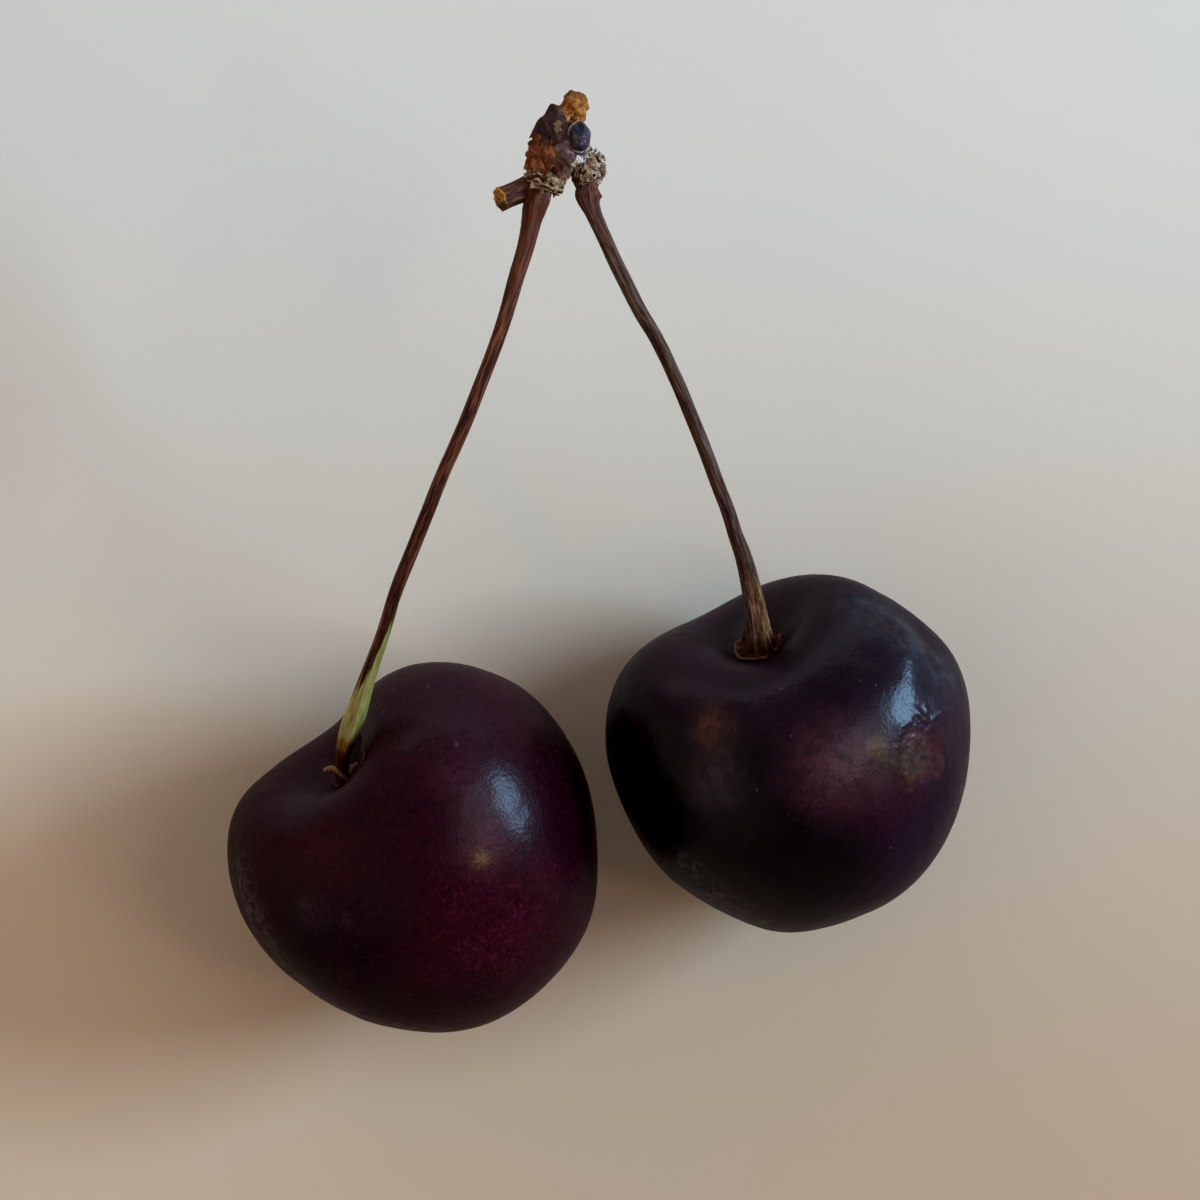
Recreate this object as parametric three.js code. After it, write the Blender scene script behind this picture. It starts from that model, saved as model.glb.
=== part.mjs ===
// A pair of dark sweet cherries on their stalks, joined at a short woody spur.
// Units are millimetres, +Z up. The pair lies on a level surface at z = 0:
// each fruit rests on a small flat, its stem cavity tilted up, and the two
// stalks rise from the cavities and meet at the spur, which stands clear of
// the surface. +X runs from the left fruit to the right one, +Y from the
// fruits to the spur.
import * as THREE from 'three';
import { mergeVertices } from 'three/addons/utils/BufferGeometryUtils.js';

// ---- driving dimensions -------------------------------------------------
const ORIGIN_SHIFT = [0.071, -1.720, 0]; // puts the origin under the centre of the pair
const FRUIT_COLUMNS = 40;                // facets around a fruit's own axis
const FRUIT_ROWS = 26;                   // facets from its stem end to its far end
const STALK_SIDES = 10;
const STALK_STEP = 1.35;                 // distance between stalk sections

// Angle from the stem end, degrees, at which each profile radius is given.
const PROFILE_ANGLES = [0, 6, 12, 18, 25, 33, 42, 52, 65, 80, 95, 110, 130, 150, 165, 180];

// A fruit is a star-shaped solid about `centre`. Its axis points from there to
// the stem cavity, `azimuth` from +X and `elevation` above the surface.
// `cheek` is its radius across the two shoulders, `front` on its upper side and
// `back` on its under side. `bumps` are swellings and hollows: azimuth,
// elevation, height, angular width. `ripples` are shallow waves. `plan` widens
// and narrows the outline seen from above, by cosine and sine of the plan angle.
const FRUITS = {
  left: {
    centre: [-13.175, -18.299, 12.34], azimuth: 134.5, elevation: 25,
    cheek: [8.1, 8.4, 9.4, 10.9, 12.5, 13.6, 14.1, 14.1, 13.7, 13.3, 13.0, 12.8, 12.6, 12.5, 12.5, 12.5],
    front: [8.1, 8.3, 8.85, 9.6, 10.5, 11.3, 12.0, 12.5, 12.8, 12.8, 12.7, 12.6, 12.5, 12.5, 12.5, 12.5],
    back: [8.1, 8.3, 8.9, 9.7, 10.7, 11.6, 12.2, 12.5, 12.5, 12.4, 12.3, 12.2, 12.2, 12.3, 12.4, 12.5],
    bumps: [[20, 50, 0.45, 34], [70, 50, 0.55, 24], [196, 42, 0.45, 26], [214, 68, -0.75, 15],
      [246, 55, -0.45, 15], [262, 38, -0.30, 15], [325, 25, 0.25, 30]],
    ripples: [[0.10, 2.3, 1.1, 0.7, 0.4], [0.08, -1.7, 2.9, 1.3, 2.1], [0.07, 3.9, -2.2, 2.6, 4.4], [0.05, -4.8, 3.1, 3.9, 1.2]],
    plan: [[0.023, 0], [0.0285, -0.0326], [0.0059, -0.0154], [-0.0246, 0.0085], [-0.0106, -0.0107],
      [0.0071, 0.0004], [-0.0026, -0.0038], [0.0009, 0.0006], [-0.0038, 0.0008]],
    color: 0x2b0611,
  },
  right: {
    centre: [13.921, -12.162, 12.10], azimuth: 105, elevation: 24.5,
    cheek: [8.4, 8.65, 9.5, 10.9, 12.4, 13.4, 13.8, 13.75, 13.4, 13.0, 12.7, 12.5, 12.3, 12.2, 12.2, 12.2],
    front: [8.4, 8.55, 9.1, 9.9, 10.8, 11.6, 12.3, 12.7, 12.75, 12.6, 12.5, 12.3, 12.2, 12.2, 12.2, 12.2],
    back: [8.4, 8.6, 9.2, 10.1, 11.1, 12.0, 12.5, 12.7, 12.6, 12.4, 12.3, 12.2, 12.2, 12.2, 12.2, 12.2],
    bumps: [[64, 24, 0.7, 24], [46, 24, -0.50, 10], [38, 36, -0.25, 8], [28, 35, 0.35, 22],
      [158, 24, 0.45, 26], [150, 55, -0.30, 22], [250, 60, 0.25, 30]],
    ripples: [[0.10, -2.1, 1.6, 0.9, 1.4], [0.09, 1.9, 2.6, -1.5, 3.1], [0.08, 3.4, 2.4, 2.2, 0.4], [0.05, 4.1, -3.7, 3.3, 5.2]],
    plan: [[0.0234, 0], [0.0304, 0.0538], [-0.0086, -0.0156], [-0.0009, -0.0057], [0.0148, 0.0145],
      [-0.0112, 0.0169], [-0.0135, -0.0041], [0.0014, -0.0037], [0.0045, -0.0026]],
    color: 0x1d0812,
  },
};

// Stalk sections from the fruit to the spur: x, y, z of the centre, and radius.
const STALK_LEFT = [
  [-18.74, -12.32, 16.42, 0.460], [-18.48, -11.33, 17.40, 0.502], [-18.15, -9.98, 18.70, 0.513], [-17.75, -8.88, 19.70, 0.586],
  [-17.26, -7.85, 20.60, 0.626], [-16.85, -6.77, 21.40, 0.614], [-16.45, -5.70, 22.10, 0.580], [-15.60, -3.50, 23.30, 0.504],
  [-14.98, -1.74, 24.00, 0.471], [-14.40, 0.00, 24.60, 0.459], [-13.60, 2.08, 25.30, 0.461], [-12.73, 4.15, 25.90, 0.460],
  [-11.87, 6.21, 26.40, 0.459], [-10.96, 8.27, 26.80, 0.455], [-10.12, 10.33, 27.00, 0.454], [-9.22, 12.38, 27.20, 0.458],
  [-8.39, 14.44, 27.30, 0.461], [-7.56, 16.50, 27.40, 0.467], [-6.81, 18.56, 27.40, 0.488], [-6.16, 20.63, 27.30, 0.526],
  [-5.58, 22.71, 27.10, 0.558], [-5.27, 23.76, 27.00, 0.578], [-4.99, 24.80, 26.90, 0.606], [-4.72, 25.85, 26.80, 0.662],
  [-4.48, 26.82, 26.70, 0.793], [-4.30, 27.52, 26.60, 0.914], [-4.24, 27.91, 26.55, 0.931], [-4.19, 28.19, 26.50, 0.828],
];
const STALK_RIGHT = [
  [11.50, -3.14, 16.14, 0.500], [11.44, -2.78, 16.68, 0.860], [11.38, -2.30, 17.30, 0.897], [11.25, -1.57, 17.90, 0.837],
  [11.02, -0.33, 18.90, 0.755], [10.71, 0.92, 19.90, 0.695], [10.36, 2.19, 20.80, 0.636], [9.93, 3.52, 21.60, 0.571],
  [9.56, 4.57, 22.10, 0.524], [9.23, 5.61, 22.60, 0.498], [8.86, 6.65, 23.00, 0.483], [8.43, 7.69, 23.40, 0.475],
  [8.01, 8.73, 23.80, 0.475], [7.19, 10.79, 24.50, 0.473], [6.35, 12.84, 25.10, 0.472], [5.40, 14.89, 25.60, 0.475],
  [4.40, 16.94, 26.00, 0.474], [3.32, 18.99, 26.30, 0.477], [2.24, 21.05, 26.50, 0.476], [1.17, 23.10, 26.65, 0.479],
  [0.23, 25.16, 26.75, 0.493], [-0.23, 26.19, 26.80, 0.524], [-0.58, 27.09, 26.80, 0.620], [-0.77, 27.64, 26.80, 0.775],
  [-0.81, 27.91, 26.80, 0.844], [-0.81, 28.09, 26.80, 0.758],
];

// Woody spur from its lower end to its torn tip: x, y, z, radius.
const SPUR_WOOD = [
  [-3.79, 29.72, 26.70, 1.22], [-3.74, 30.05, 26.76, 1.32], [-3.70, 30.50, 26.82, 1.36], [-3.52, 31.21, 26.90, 1.33],
  [-3.40, 31.90, 27.00, 1.28], [-3.05, 32.60, 27.08, 1.30], [-2.60, 33.20, 27.12, 1.26], [-2.20, 33.75, 27.16, 1.02],
  [-1.95, 34.25, 27.20, 0.92], [-1.82, 34.70, 27.24, 0.88], [-1.80, 34.95, 27.25, 0.62],
];
const SPUR_FLATTEN = 0.86;               // its height against its width
// Broken-off foot of a third stalk, beside the left stalk's head.
const STALK_STUB = [[-5.78, 28.10, 26.50, 0.78], [-6.25, 27.88, 26.72, 0.76], [-6.92, 27.57, 27.05, 0.80]];
const SPUR_BUD = { centre: [-1.42, 31.84, 28.20], axis: [0.35, 0.05, 0.93], radius: 0.72, height: 0.95 };
const SPUR_BRACT = { centre: [-2.72, 30.98, 28.42], length: 2.5, width: 1.15, thickness: 0.26, turn: -62, lean: 14 };
const SCALES_LEFT = { centre: [-3.80, 28.96, 26.50], size: [1.50, 0.50, 1.25], turn: -4 };
const SCALES_RIGHT = { centre: [-0.70, 29.80, 26.70], size: [1.20, 1.42, 1.15], turn: 8 };
// Dried flower remnants in the stem cavities, shallow cups around the stalks' feet.
const CALYX_LEFT = { radius: 1.40, rise: 0.80, thickness: 0.28, lift: 0.22, wave: 0.13 };
const CALYX_RIGHT = { radius: 1.84, rise: 0.86, thickness: 0.25, lift: 0.20, wave: 0.07 };

// ---- helpers --------------------------------------------------------------
const DEG = Math.PI / 180;

// Cubic spline through (x, y) with zero slope at both ends.
function spline(x, y) {
  const n = x.length, h = [], a = [], b = [], c = [], d = [];
  for (let i = 0; i < n - 1; i++) h.push(x[i + 1] - x[i]);
  for (let i = 0; i < n; i++) {
    if (i === 0) { a.push(0); b.push(2 * h[0]); c.push(h[0]); d.push(6 * (y[1] - y[0]) / h[0]); }
    else if (i === n - 1) { a.push(h[i - 1]); b.push(2 * h[i - 1]); c.push(0); d.push(-6 * (y[i] - y[i - 1]) / h[i - 1]); }
    else { a.push(h[i - 1]); b.push(2 * (h[i - 1] + h[i])); c.push(h[i]); d.push(6 * ((y[i + 1] - y[i]) / h[i] - (y[i] - y[i - 1]) / h[i - 1])); }
  }
  for (let i = 1; i < n; i++) { const m = a[i] / b[i - 1]; b[i] -= m * c[i - 1]; d[i] -= m * d[i - 1]; }
  const M = new Array(n);
  M[n - 1] = d[n - 1] / b[n - 1];
  for (let i = n - 2; i >= 0; i--) M[i] = (d[i] - c[i] * M[i + 1]) / b[i];
  return (t) => {
    t = Math.min(Math.max(t, x[0]), x[n - 1]);
    let i = 0;
    while (i < n - 2 && t >= x[i + 1]) i++;
    const k = h[i], p = x[i + 1] - t, q = t - x[i];
    return M[i] * p ** 3 / (6 * k) + M[i + 1] * q ** 3 / (6 * k) + (y[i] / k - M[i] * k / 6) * p + (y[i + 1] / k - M[i + 1] * k / 6) * q;
  };
}

const smooth = (t) => { t = Math.min(Math.max(t, 0), 1); return t * t * (3 - 2 * t); };

function direction(azimuth, elevation) {
  return new THREE.Vector3(Math.cos(azimuth * DEG) * Math.cos(elevation * DEG),
    Math.sin(azimuth * DEG) * Math.cos(elevation * DEG), Math.sin(elevation * DEG));
}

// Returns the surface point of a fruit along n, a unit vector in the fruit's own frame (its +Z is the axis).
function fruitSurface(f) {
  const axis = direction(f.azimuth, f.elevation);
  const side = new THREE.Vector3(Math.sin(f.azimuth * DEG), -Math.cos(f.azimuth * DEG), 0);
  const up = new THREE.Vector3().crossVectors(axis, side);
  const cheek = spline(PROFILE_ANGLES, f.cheek), front = spline(PROFILE_ANGLES, f.front), back = spline(PROFILE_ANGLES, f.back);
  const bumps = f.bumps.map(([az, el, height, width]) => [direction(az, el), height, width]);
  const at = (n) => {
    const theta = Math.acos(Math.min(1, Math.max(-1, n.z))) / DEG;
    const level = Math.hypot(n.x, n.y) + 1e-12, c = n.x / level, s = n.y / level;
    const w = c * c, g = 0.5 + 0.5 * s;
    let r = cheek(theta) * w + (front(theta) * g + back(theta) * (1 - g)) * (1 - w);
    const p = new THREE.Vector3().addScaledVector(side, n.x).addScaledVector(up, n.y).addScaledVector(axis, n.z);
    for (const [d, height, width] of bumps) {
      const angle = Math.acos(Math.min(1, Math.max(-1, p.dot(d)))) / DEG;
      r += height * Math.exp(-((angle / width) ** 2));
    }
    for (const [A, kx, ky, kz, phase] of f.ripples) r += A * Math.sin(kx * n.x + ky * n.y + kz * n.z + phase);
    p.multiplyScalar(r);
    const angle = Math.atan2(p.y, p.x), out = Math.hypot(p.x, p.y);
    let k = 0;
    f.plan.forEach(([ca, sa], i) => { k += ca * Math.cos(i * angle) + sa * Math.sin(i * angle); });
    k *= smooth((out - 3) / 8);
    p.x *= 1 + k; p.y *= 1 + k;
    p.x += f.centre[0]; p.y += f.centre[1]; p.z += f.centre[2];
    p.z = Math.max(p.z, 0);                // the fruit's weight presses a small flat
    return p;
  };
  return { axis, side, up, at };
}

// Merges vertices that share a place, so that the body is closed.
function closed(geometry) {
  for (const name of Object.keys(geometry.attributes)) if (name !== 'position') geometry.deleteAttribute(name);
  const merged = mergeVertices(geometry, 1e-4);
  merged.computeVertexNormals();
  return merged;
}

function fruitGeometry(f) {
  const surface = fruitSurface(f);
  const g = new THREE.SphereGeometry(1, FRUIT_COLUMNS, FRUIT_ROWS);
  g.rotateX(Math.PI / 2);                  // poles to +Z and -Z
  const merged = closed(g);
  const pos = merged.attributes.position, n = new THREE.Vector3();
  for (let i = 0; i < pos.count; i++) {
    n.fromBufferAttribute(pos, i).normalize();
    const t = Math.acos(Math.min(1, Math.max(-1, n.z))) / Math.PI;
    const theta = Math.PI * (0.55 * t + 0.45 * t ** 1.6); // rows closer together in the stem cavity
    const around = Math.atan2(n.y, n.x);
    n.set(Math.sin(theta) * Math.cos(around), Math.sin(theta) * Math.sin(around), Math.cos(theta));
    if (t < 1e-6) n.set(0, 0, 1);
    if (t > 1 - 1e-6) n.set(0, 0, -1);
    const p = surface.at(n);
    pos.setXYZ(i, p.x, p.y, p.z);
  }
  merged.computeVertexNormals();
  return merged;
}

// A closed tube through rows of [x, y, z, radius], with flat ends. `shape` can vary the radius by section and angle.
function loft(rows, sides, step, flatten = 1, shape = () => 1) {
  const curve = new THREE.CatmullRomCurve3(rows.map((r) => new THREE.Vector3(r[0], r[1], r[2])), false, 'centripetal');
  curve.arcLengthDivisions = 600;
  const steps = Math.max(2, Math.round(curve.getLength() / step));
  const along = [0];
  for (let i = 1; i < rows.length; i++) along.push(along[i - 1] + Math.hypot(rows[i][0] - rows[i - 1][0], rows[i][1] - rows[i - 1][1], rows[i][2] - rows[i - 1][2]));
  const radius = (u) => {
    const s = u * along[along.length - 1];
    let i = 0;
    while (i < rows.length - 2 && s > along[i + 1]) i++;
    const t = Math.min(1, Math.max(0, (s - along[i]) / (along[i + 1] - along[i])));
    return rows[i][3] * (1 - t) + rows[i + 1][3] * t;
  };
  const frames = curve.computeFrenetFrames(steps, false);
  const position = [], index = [];
  for (let i = 0; i <= steps; i++) {
    const u = i / steps, p = curve.getPointAt(u), r = radius(u);
    for (let j = 0; j < sides; j++) {
      const a = j / sides * 2 * Math.PI, k = r * shape(u, a);
      const off = new THREE.Vector3().addScaledVector(frames.normals[i], Math.cos(a) * k).addScaledVector(frames.binormals[i], Math.sin(a) * k);
      position.push(p.x + off.x, p.y + off.y, p.z + off.z * flatten);
    }
  }
  const first = position.length / 3;
  const p0 = curve.getPointAt(0), p1 = curve.getPointAt(1);
  position.push(p0.x, p0.y, p0.z, p1.x, p1.y, p1.z);
  for (let i = 0; i < steps; i++) for (let j = 0; j < sides; j++) {
    const a = i * sides + j, b = i * sides + (j + 1) % sides, c = a + sides, d = b + sides;
    index.push(a, b, c, b, d, c);
  }
  for (let j = 0; j < sides; j++) {
    index.push(first, (j + 1) % sides, j);
    index.push(first + 1, steps * sides + j, steps * sides + (j + 1) % sides);
  }
  const g = new THREE.BufferGeometry();
  g.setAttribute('position', new THREE.Float32BufferAttribute(position, 3));
  g.setIndex(index);
  return closed(g);
}

// A knot of overlapping dry scales: a rounded body with a scaly surface.
function scaleKnot({ centre, size, turn }, columns, rows, seed) {
  const g = closed(new THREE.SphereGeometry(1, columns, rows));
  const pos = g.attributes.position, n = new THREE.Vector3();
  for (let i = 0; i < pos.count; i++) {
    n.fromBufferAttribute(pos, i);
    const k = 1 + 0.07 * Math.sin(7 * n.x + 3 * n.y + seed) * Math.cos(5 * n.z - 4 * n.y + 2 * seed);
    const boxy = 1 / Math.max(0.78, Math.hypot(n.x, n.z)) * 0.22 + 0.78; // fuller waist than an ellipsoid
    pos.setXYZ(i, n.x * size[0] * k * boxy, n.y * size[1] * k, n.z * size[2] * k * boxy);
  }
  g.rotateZ(turn * DEG);
  g.translate(...centre);
  g.computeVertexNormals();
  return g;
}

// A shallow cup standing in a fruit's stem cavity.
function calyxCup(fruit, { radius, rise, thickness, lift, wave }, sides) {
  const s = fruitSurface(fruit), pit = s.at(new THREE.Vector3(0, 0, 1));
  const outer = [0, 0.35, 0.68, 0.9, 1].map((t) => new THREE.Vector2(t * radius, lift + rise * t * t));
  const inner = [0.98, 0.86, 0.62, 0.3, 0].map((t) => new THREE.Vector2(t * radius * 0.97, lift + thickness + rise * t * t * 0.96));
  const g = closed(new THREE.LatheGeometry([...outer, ...inner], sides));
  const pos = g.attributes.position;
  for (let i = 0; i < pos.count; i++) {     // ragged rim
    const x = pos.getX(i), z = pos.getZ(i), r = Math.hypot(x, z) / radius, a = Math.atan2(z, x);
    const k = 1 - wave * r * (0.5 + 0.5 * Math.sin(5 * a + 0.8)) - 0.5 * wave * r * (0.5 + 0.5 * Math.cos(3 * a));
    pos.setXYZ(i, x * k, pos.getY(i), z * k);
  }
  // the cup's own +Y is its axis, along the fruit's axis from the bottom of the cavity
  const m = new THREE.Matrix4().makeBasis(s.side, s.axis, new THREE.Vector3().crossVectors(s.side, s.axis));
  g.applyMatrix4(m);
  g.translate(pit.x, pit.y, pit.z);
  g.computeVertexNormals();
  return g;
}

function budGeometry({ centre, axis, radius, height }) {
  const profile = [[0, -0.5], [0.62, -0.46], [0.93, -0.22], [1, 0.1], [0.9, 0.36], [0.62, 0.5], [0.3, 0.44], [0, 0.38]]
    .map(([r, h]) => new THREE.Vector2(r * radius, h * height));
  const g = closed(new THREE.LatheGeometry(profile, 14));
  g.applyQuaternion(new THREE.Quaternion().setFromUnitVectors(new THREE.Vector3(0, 1, 0), new THREE.Vector3(...axis).normalize()));
  g.translate(...centre);
  return g;
}

function bractGeometry({ centre, length, width, thickness, turn, lean }) {
  const g = closed(new THREE.SphereGeometry(1, 14, 8));
  const pos = g.attributes.position;
  for (let i = 0; i < pos.count; i++) {
    const x = pos.getX(i), y = pos.getY(i), z = pos.getZ(i);
    const w = width / 2 * (1 - 0.25 * x);
    pos.setXYZ(i, x * length / 2, z * -w, y * thickness / 2 - 0.22 * z * z - 0.10 * x * x); // bowed over the wood
  }
  g.rotateY(lean * DEG);
  g.rotateZ(turn * DEG);
  g.translate(...centre);
  g.computeVertexNormals();
  return g;
}

// ---- the pair ---------------------------------------------------------------
const part = new THREE.Group();
part.name = 'cherry_pair';
part.position.set(...ORIGIN_SHIFT);

function add(name, geometry, color, roughness) {
  const mesh = new THREE.Mesh(geometry, new THREE.MeshStandardMaterial({ color, roughness, metalness: 0 }));
  mesh.name = name;
  part.add(mesh);
}

add('cherry_left', fruitGeometry(FRUITS.left), FRUITS.left.color, 0.32);
add('cherry_right', fruitGeometry(FRUITS.right), FRUITS.right.color, 0.32);
add('stalk_left', loft(STALK_LEFT, STALK_SIDES, STALK_STEP), 0x4a2118, 0.62);
add('stalk_right', loft(STALK_RIGHT, STALK_SIDES, STALK_STEP), 0x3c2219, 0.7);
add('calyx_left', calyxCup(FRUITS.left, CALYX_LEFT, 16), 0x8a5a38, 0.8);
add('calyx_right', calyxCup(FRUITS.right, CALYX_RIGHT, 18), 0x4a2a1a, 0.85);
add('spur_wood', loft(SPUR_WOOD, 14, 0.5, SPUR_FLATTEN, (u, a) => 1 + 0.05 * Math.sin(3 * a + 9 * u) + 0.04 * Math.sin(5 * a - 14 * u)), 0x6a3d22, 0.85);
add('spur_bud', budGeometry(SPUR_BUD), 0x262230, 0.55);
add('spur_bract', bractGeometry(SPUR_BRACT), 0x564048, 0.6);
add('bud_scales_left', scaleKnot(SCALES_LEFT, 18, 8, 0.6), 0x6b5744, 0.85);
add('bud_scales_right', scaleKnot(SCALES_RIGHT, 16, 11, 2.1), 0x705c48, 0.85);
add('stalk_stub', loft(STALK_STUB, STALK_SIDES, 0.45), 0x5a3c34, 0.75);

export default part;
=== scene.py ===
import math
import bpy
import numpy as np
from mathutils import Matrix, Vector
from mathutils.kdtree import KDTree


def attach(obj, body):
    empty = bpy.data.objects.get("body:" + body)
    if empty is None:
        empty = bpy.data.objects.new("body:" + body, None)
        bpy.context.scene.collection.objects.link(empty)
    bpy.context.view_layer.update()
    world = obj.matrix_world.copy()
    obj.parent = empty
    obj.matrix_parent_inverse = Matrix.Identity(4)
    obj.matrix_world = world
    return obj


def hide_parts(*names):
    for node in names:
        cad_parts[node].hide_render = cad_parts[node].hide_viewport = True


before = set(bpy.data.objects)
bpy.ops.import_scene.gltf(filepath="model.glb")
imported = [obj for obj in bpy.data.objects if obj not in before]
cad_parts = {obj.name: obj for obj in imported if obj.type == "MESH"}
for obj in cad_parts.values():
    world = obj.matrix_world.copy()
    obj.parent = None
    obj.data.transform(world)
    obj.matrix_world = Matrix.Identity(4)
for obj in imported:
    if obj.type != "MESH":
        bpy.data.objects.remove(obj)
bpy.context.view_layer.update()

# A pair of dark sweet cherries on stalks, joined at a short woody spur.
# Lengths below are in millimetres and are turned into metres when a mesh is made.
SHIFT = np.array([0.071, -1.720, 0.0])   # the same shift as the CAD model's, from layout to frame
EYE = 260.0                              # camera height above the surface
FOCAL = (EYE - 13.0) / 0.073             # focal length in pixels of a 1200 pixel frame


def at(u, v, z):
    """The layout point that shows at pixel (u, v) of the 1200 x 1200 frame at height z."""
    s = (EYE - z) / FOCAL
    return np.array([(u - 600.0) * s, (600.0 - v) * s, z])


def to_pixel(P):
    s = FOCAL / (EYE - P[..., 2])
    return np.stack([600.0 + P[..., 0] * s, 600.0 - P[..., 1] * s], -1)


def smooth(t):
    t = np.clip(t, 0.0, 1.0)
    return t * t * (3.0 - 2.0 * t)


def unit(v):
    v = np.asarray(v, float)
    return v / np.maximum(np.linalg.norm(v, axis=-1, keepdims=True), 1e-12)


# ---- seeded noise -----------------------------------------------------------
def _lattice(i, j, k, seed):
    h = (i * 374761393 + j * 668265263 + k * 1442695041 + seed * 974634777) & 0xFFFFFFFF
    h = ((h ^ (h >> 13)) * 1274126177) & 0xFFFFFFFF
    h = ((h ^ (h >> 16)) * 2246822519) & 0xFFFFFFFF
    return ((h >> 8) & 0xFFFF) / 32767.5 - 1.0


def noise(P, seed=0):
    """Value noise in -1..1, smooth, with a wavelength of about 2 units."""
    P = np.asarray(P, float)
    base = np.floor(P).astype(np.int64)
    f = P - base
    f = f * f * f * (f * (f * 6 - 15) + 10)
    i, j, k = base[..., 0], base[..., 1], base[..., 2]
    out = 0.0
    for a in (0, 1):
        wa = f[..., 0] if a else 1 - f[..., 0]
        for b in (0, 1):
            wb = f[..., 1] if b else 1 - f[..., 1]
            for c in (0, 1):
                wc = f[..., 2] if c else 1 - f[..., 2]
                out = out + wa * wb * wc * _lattice(i + a, j + b, k + c, seed)
    return out


def fbm(P, octaves=4, seed=0, gain=0.5):
    out, amp, total = 0.0, 1.0, 0.0
    P = np.asarray(P, float)
    for o in range(octaves):
        out = out + amp * noise(P * 2.0 ** o + 17.3 * o, seed + 31 * o)
        total += amp
        amp *= gain
    return out / total


# ---- splines ----------------------------------------------------------------
class Spline:
    """Cubic spline; zero end slopes, or natural ends."""

    def __init__(self, x, y, natural=False):
        x = np.asarray(x, float)
        y = np.asarray(y, float)
        n = len(x)
        h = np.diff(x)
        A = np.zeros((n, n))
        b = np.zeros((n,) + y.shape[1:])
        slope = (y[1:] - y[:-1]) / (h if y.ndim == 1 else h[:, None])
        if natural:
            A[0, 0] = A[-1, -1] = 1.0
        else:
            A[0, 0], A[0, 1], b[0] = 2 * h[0], h[0], 6 * slope[0]
            A[-1, -1], A[-1, -2], b[-1] = 2 * h[-1], h[-1], -6 * slope[-1]
        for i in range(1, n - 1):
            A[i, i - 1], A[i, i], A[i, i + 1] = h[i - 1], 2 * (h[i - 1] + h[i]), h[i]
            b[i] = 6 * (slope[i] - slope[i - 1])
        self.x, self.y, self.h, self.M = x, y, h, np.linalg.solve(A, b)

    def __call__(self, t):
        t = np.clip(np.asarray(t, float), self.x[0], self.x[-1])
        i = np.clip(np.searchsorted(self.x, t, side="right") - 1, 0, len(self.x) - 2)
        h, p, q = self.h[i], self.x[i + 1] - t, t - self.x[i]
        if self.y.ndim > 1:
            h, p, q = h[..., None], p[..., None], q[..., None]
        M, y = self.M, self.y
        return (M[i] * p ** 3 / (6 * h) + M[i + 1] * q ** 3 / (6 * h)
                + (y[i] / h - M[i] * h / 6) * p + (y[i + 1] / h - M[i + 1] * h / 6) * q)


# ---- meshes -----------------------------------------------------------------
class Body:
    """Collects vertices, faces and point attributes of one piece, in layout millimetres."""

    def __init__(self):
        self.V, self.F, self.n, self.attrs = [], [], 0, {}

    def add(self, V, F, **attrs):
        V = np.asarray(V, float).reshape(-1, 3)
        start = self.n
        self.V.append(V)
        self.F.extend([tuple(int(i) + start for i in f) for f in F])
        self.n += len(V)
        for k in set(attrs) | set(self.attrs):
            width = 3 if (k == "flow") else 1
            have = self.attrs.setdefault(k, [])
            missing = start - sum(len(a) for a in have)
            if missing > 0:
                have.append(np.zeros((missing, width)))
            value = attrs.get(k, 0.0)
            value = np.asarray(value, float)
            if value.ndim == 0:
                value = np.full((len(V), width), float(value))
            have.append(value.reshape(len(V), width))
        return self

    def make(self, name, smooth_faces=True):
        V = (np.concatenate(self.V) + SHIFT) * 0.001
        me = bpy.data.meshes.new(name)
        me.from_pydata(V.tolist(), [], self.F)
        me.update()
        for k, chunks in self.attrs.items():
            data = np.concatenate(chunks)
            if data.shape[1] == 3:
                a = me.attributes.new(k, "FLOAT_VECTOR", "POINT")
                a.data.foreach_set("vector", data.astype(np.float32).ravel())
            else:
                a = me.attributes.new(k, "FLOAT", "POINT")
                a.data.foreach_set("value", data.astype(np.float32).ravel())
        me.polygons.foreach_set("use_smooth", [smooth_faces] * len(me.polygons))
        ob = bpy.data.objects.new(name, me)
        bpy.context.scene.collection.objects.link(ob)
        import bmesh
        bm = bmesh.new()
        bm.from_mesh(me)
        bmesh.ops.recalc_face_normals(bm, faces=bm.faces)
        bm.to_mesh(me)
        bm.free()
        me.update()
        return ob


def ring_faces(rows, cols, start=0, wrap=True):
    F = []
    for i in range(rows - 1):
        for j in range(cols if wrap else cols - 1):
            k = (j + 1) % cols
            F.append((start + i * cols + j, start + i * cols + k, start + (i + 1) * cols + k, start + (i + 1) * cols + j))
    return F


def closed_rings(P, tip0=None, tip1=None):
    """Vertices and faces of a closed skin through rings P[i, j]; the ends close on a point."""
    rows, cols = P.shape[:2]
    V = P.reshape(-1, 3)
    F = ring_faces(rows, cols)
    tip0 = P[0].mean(0) if tip0 is None else tip0
    tip1 = P[-1].mean(0) if tip1 is None else tip1
    n = len(V)
    V = np.concatenate([V, [tip0, tip1]])
    for j in range(cols):
        k = (j + 1) % cols
        F.append((n, k, j))
        F.append((n + 1, (rows - 1) * cols + j, (rows - 1) * cols + k))
    return V, F


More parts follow.
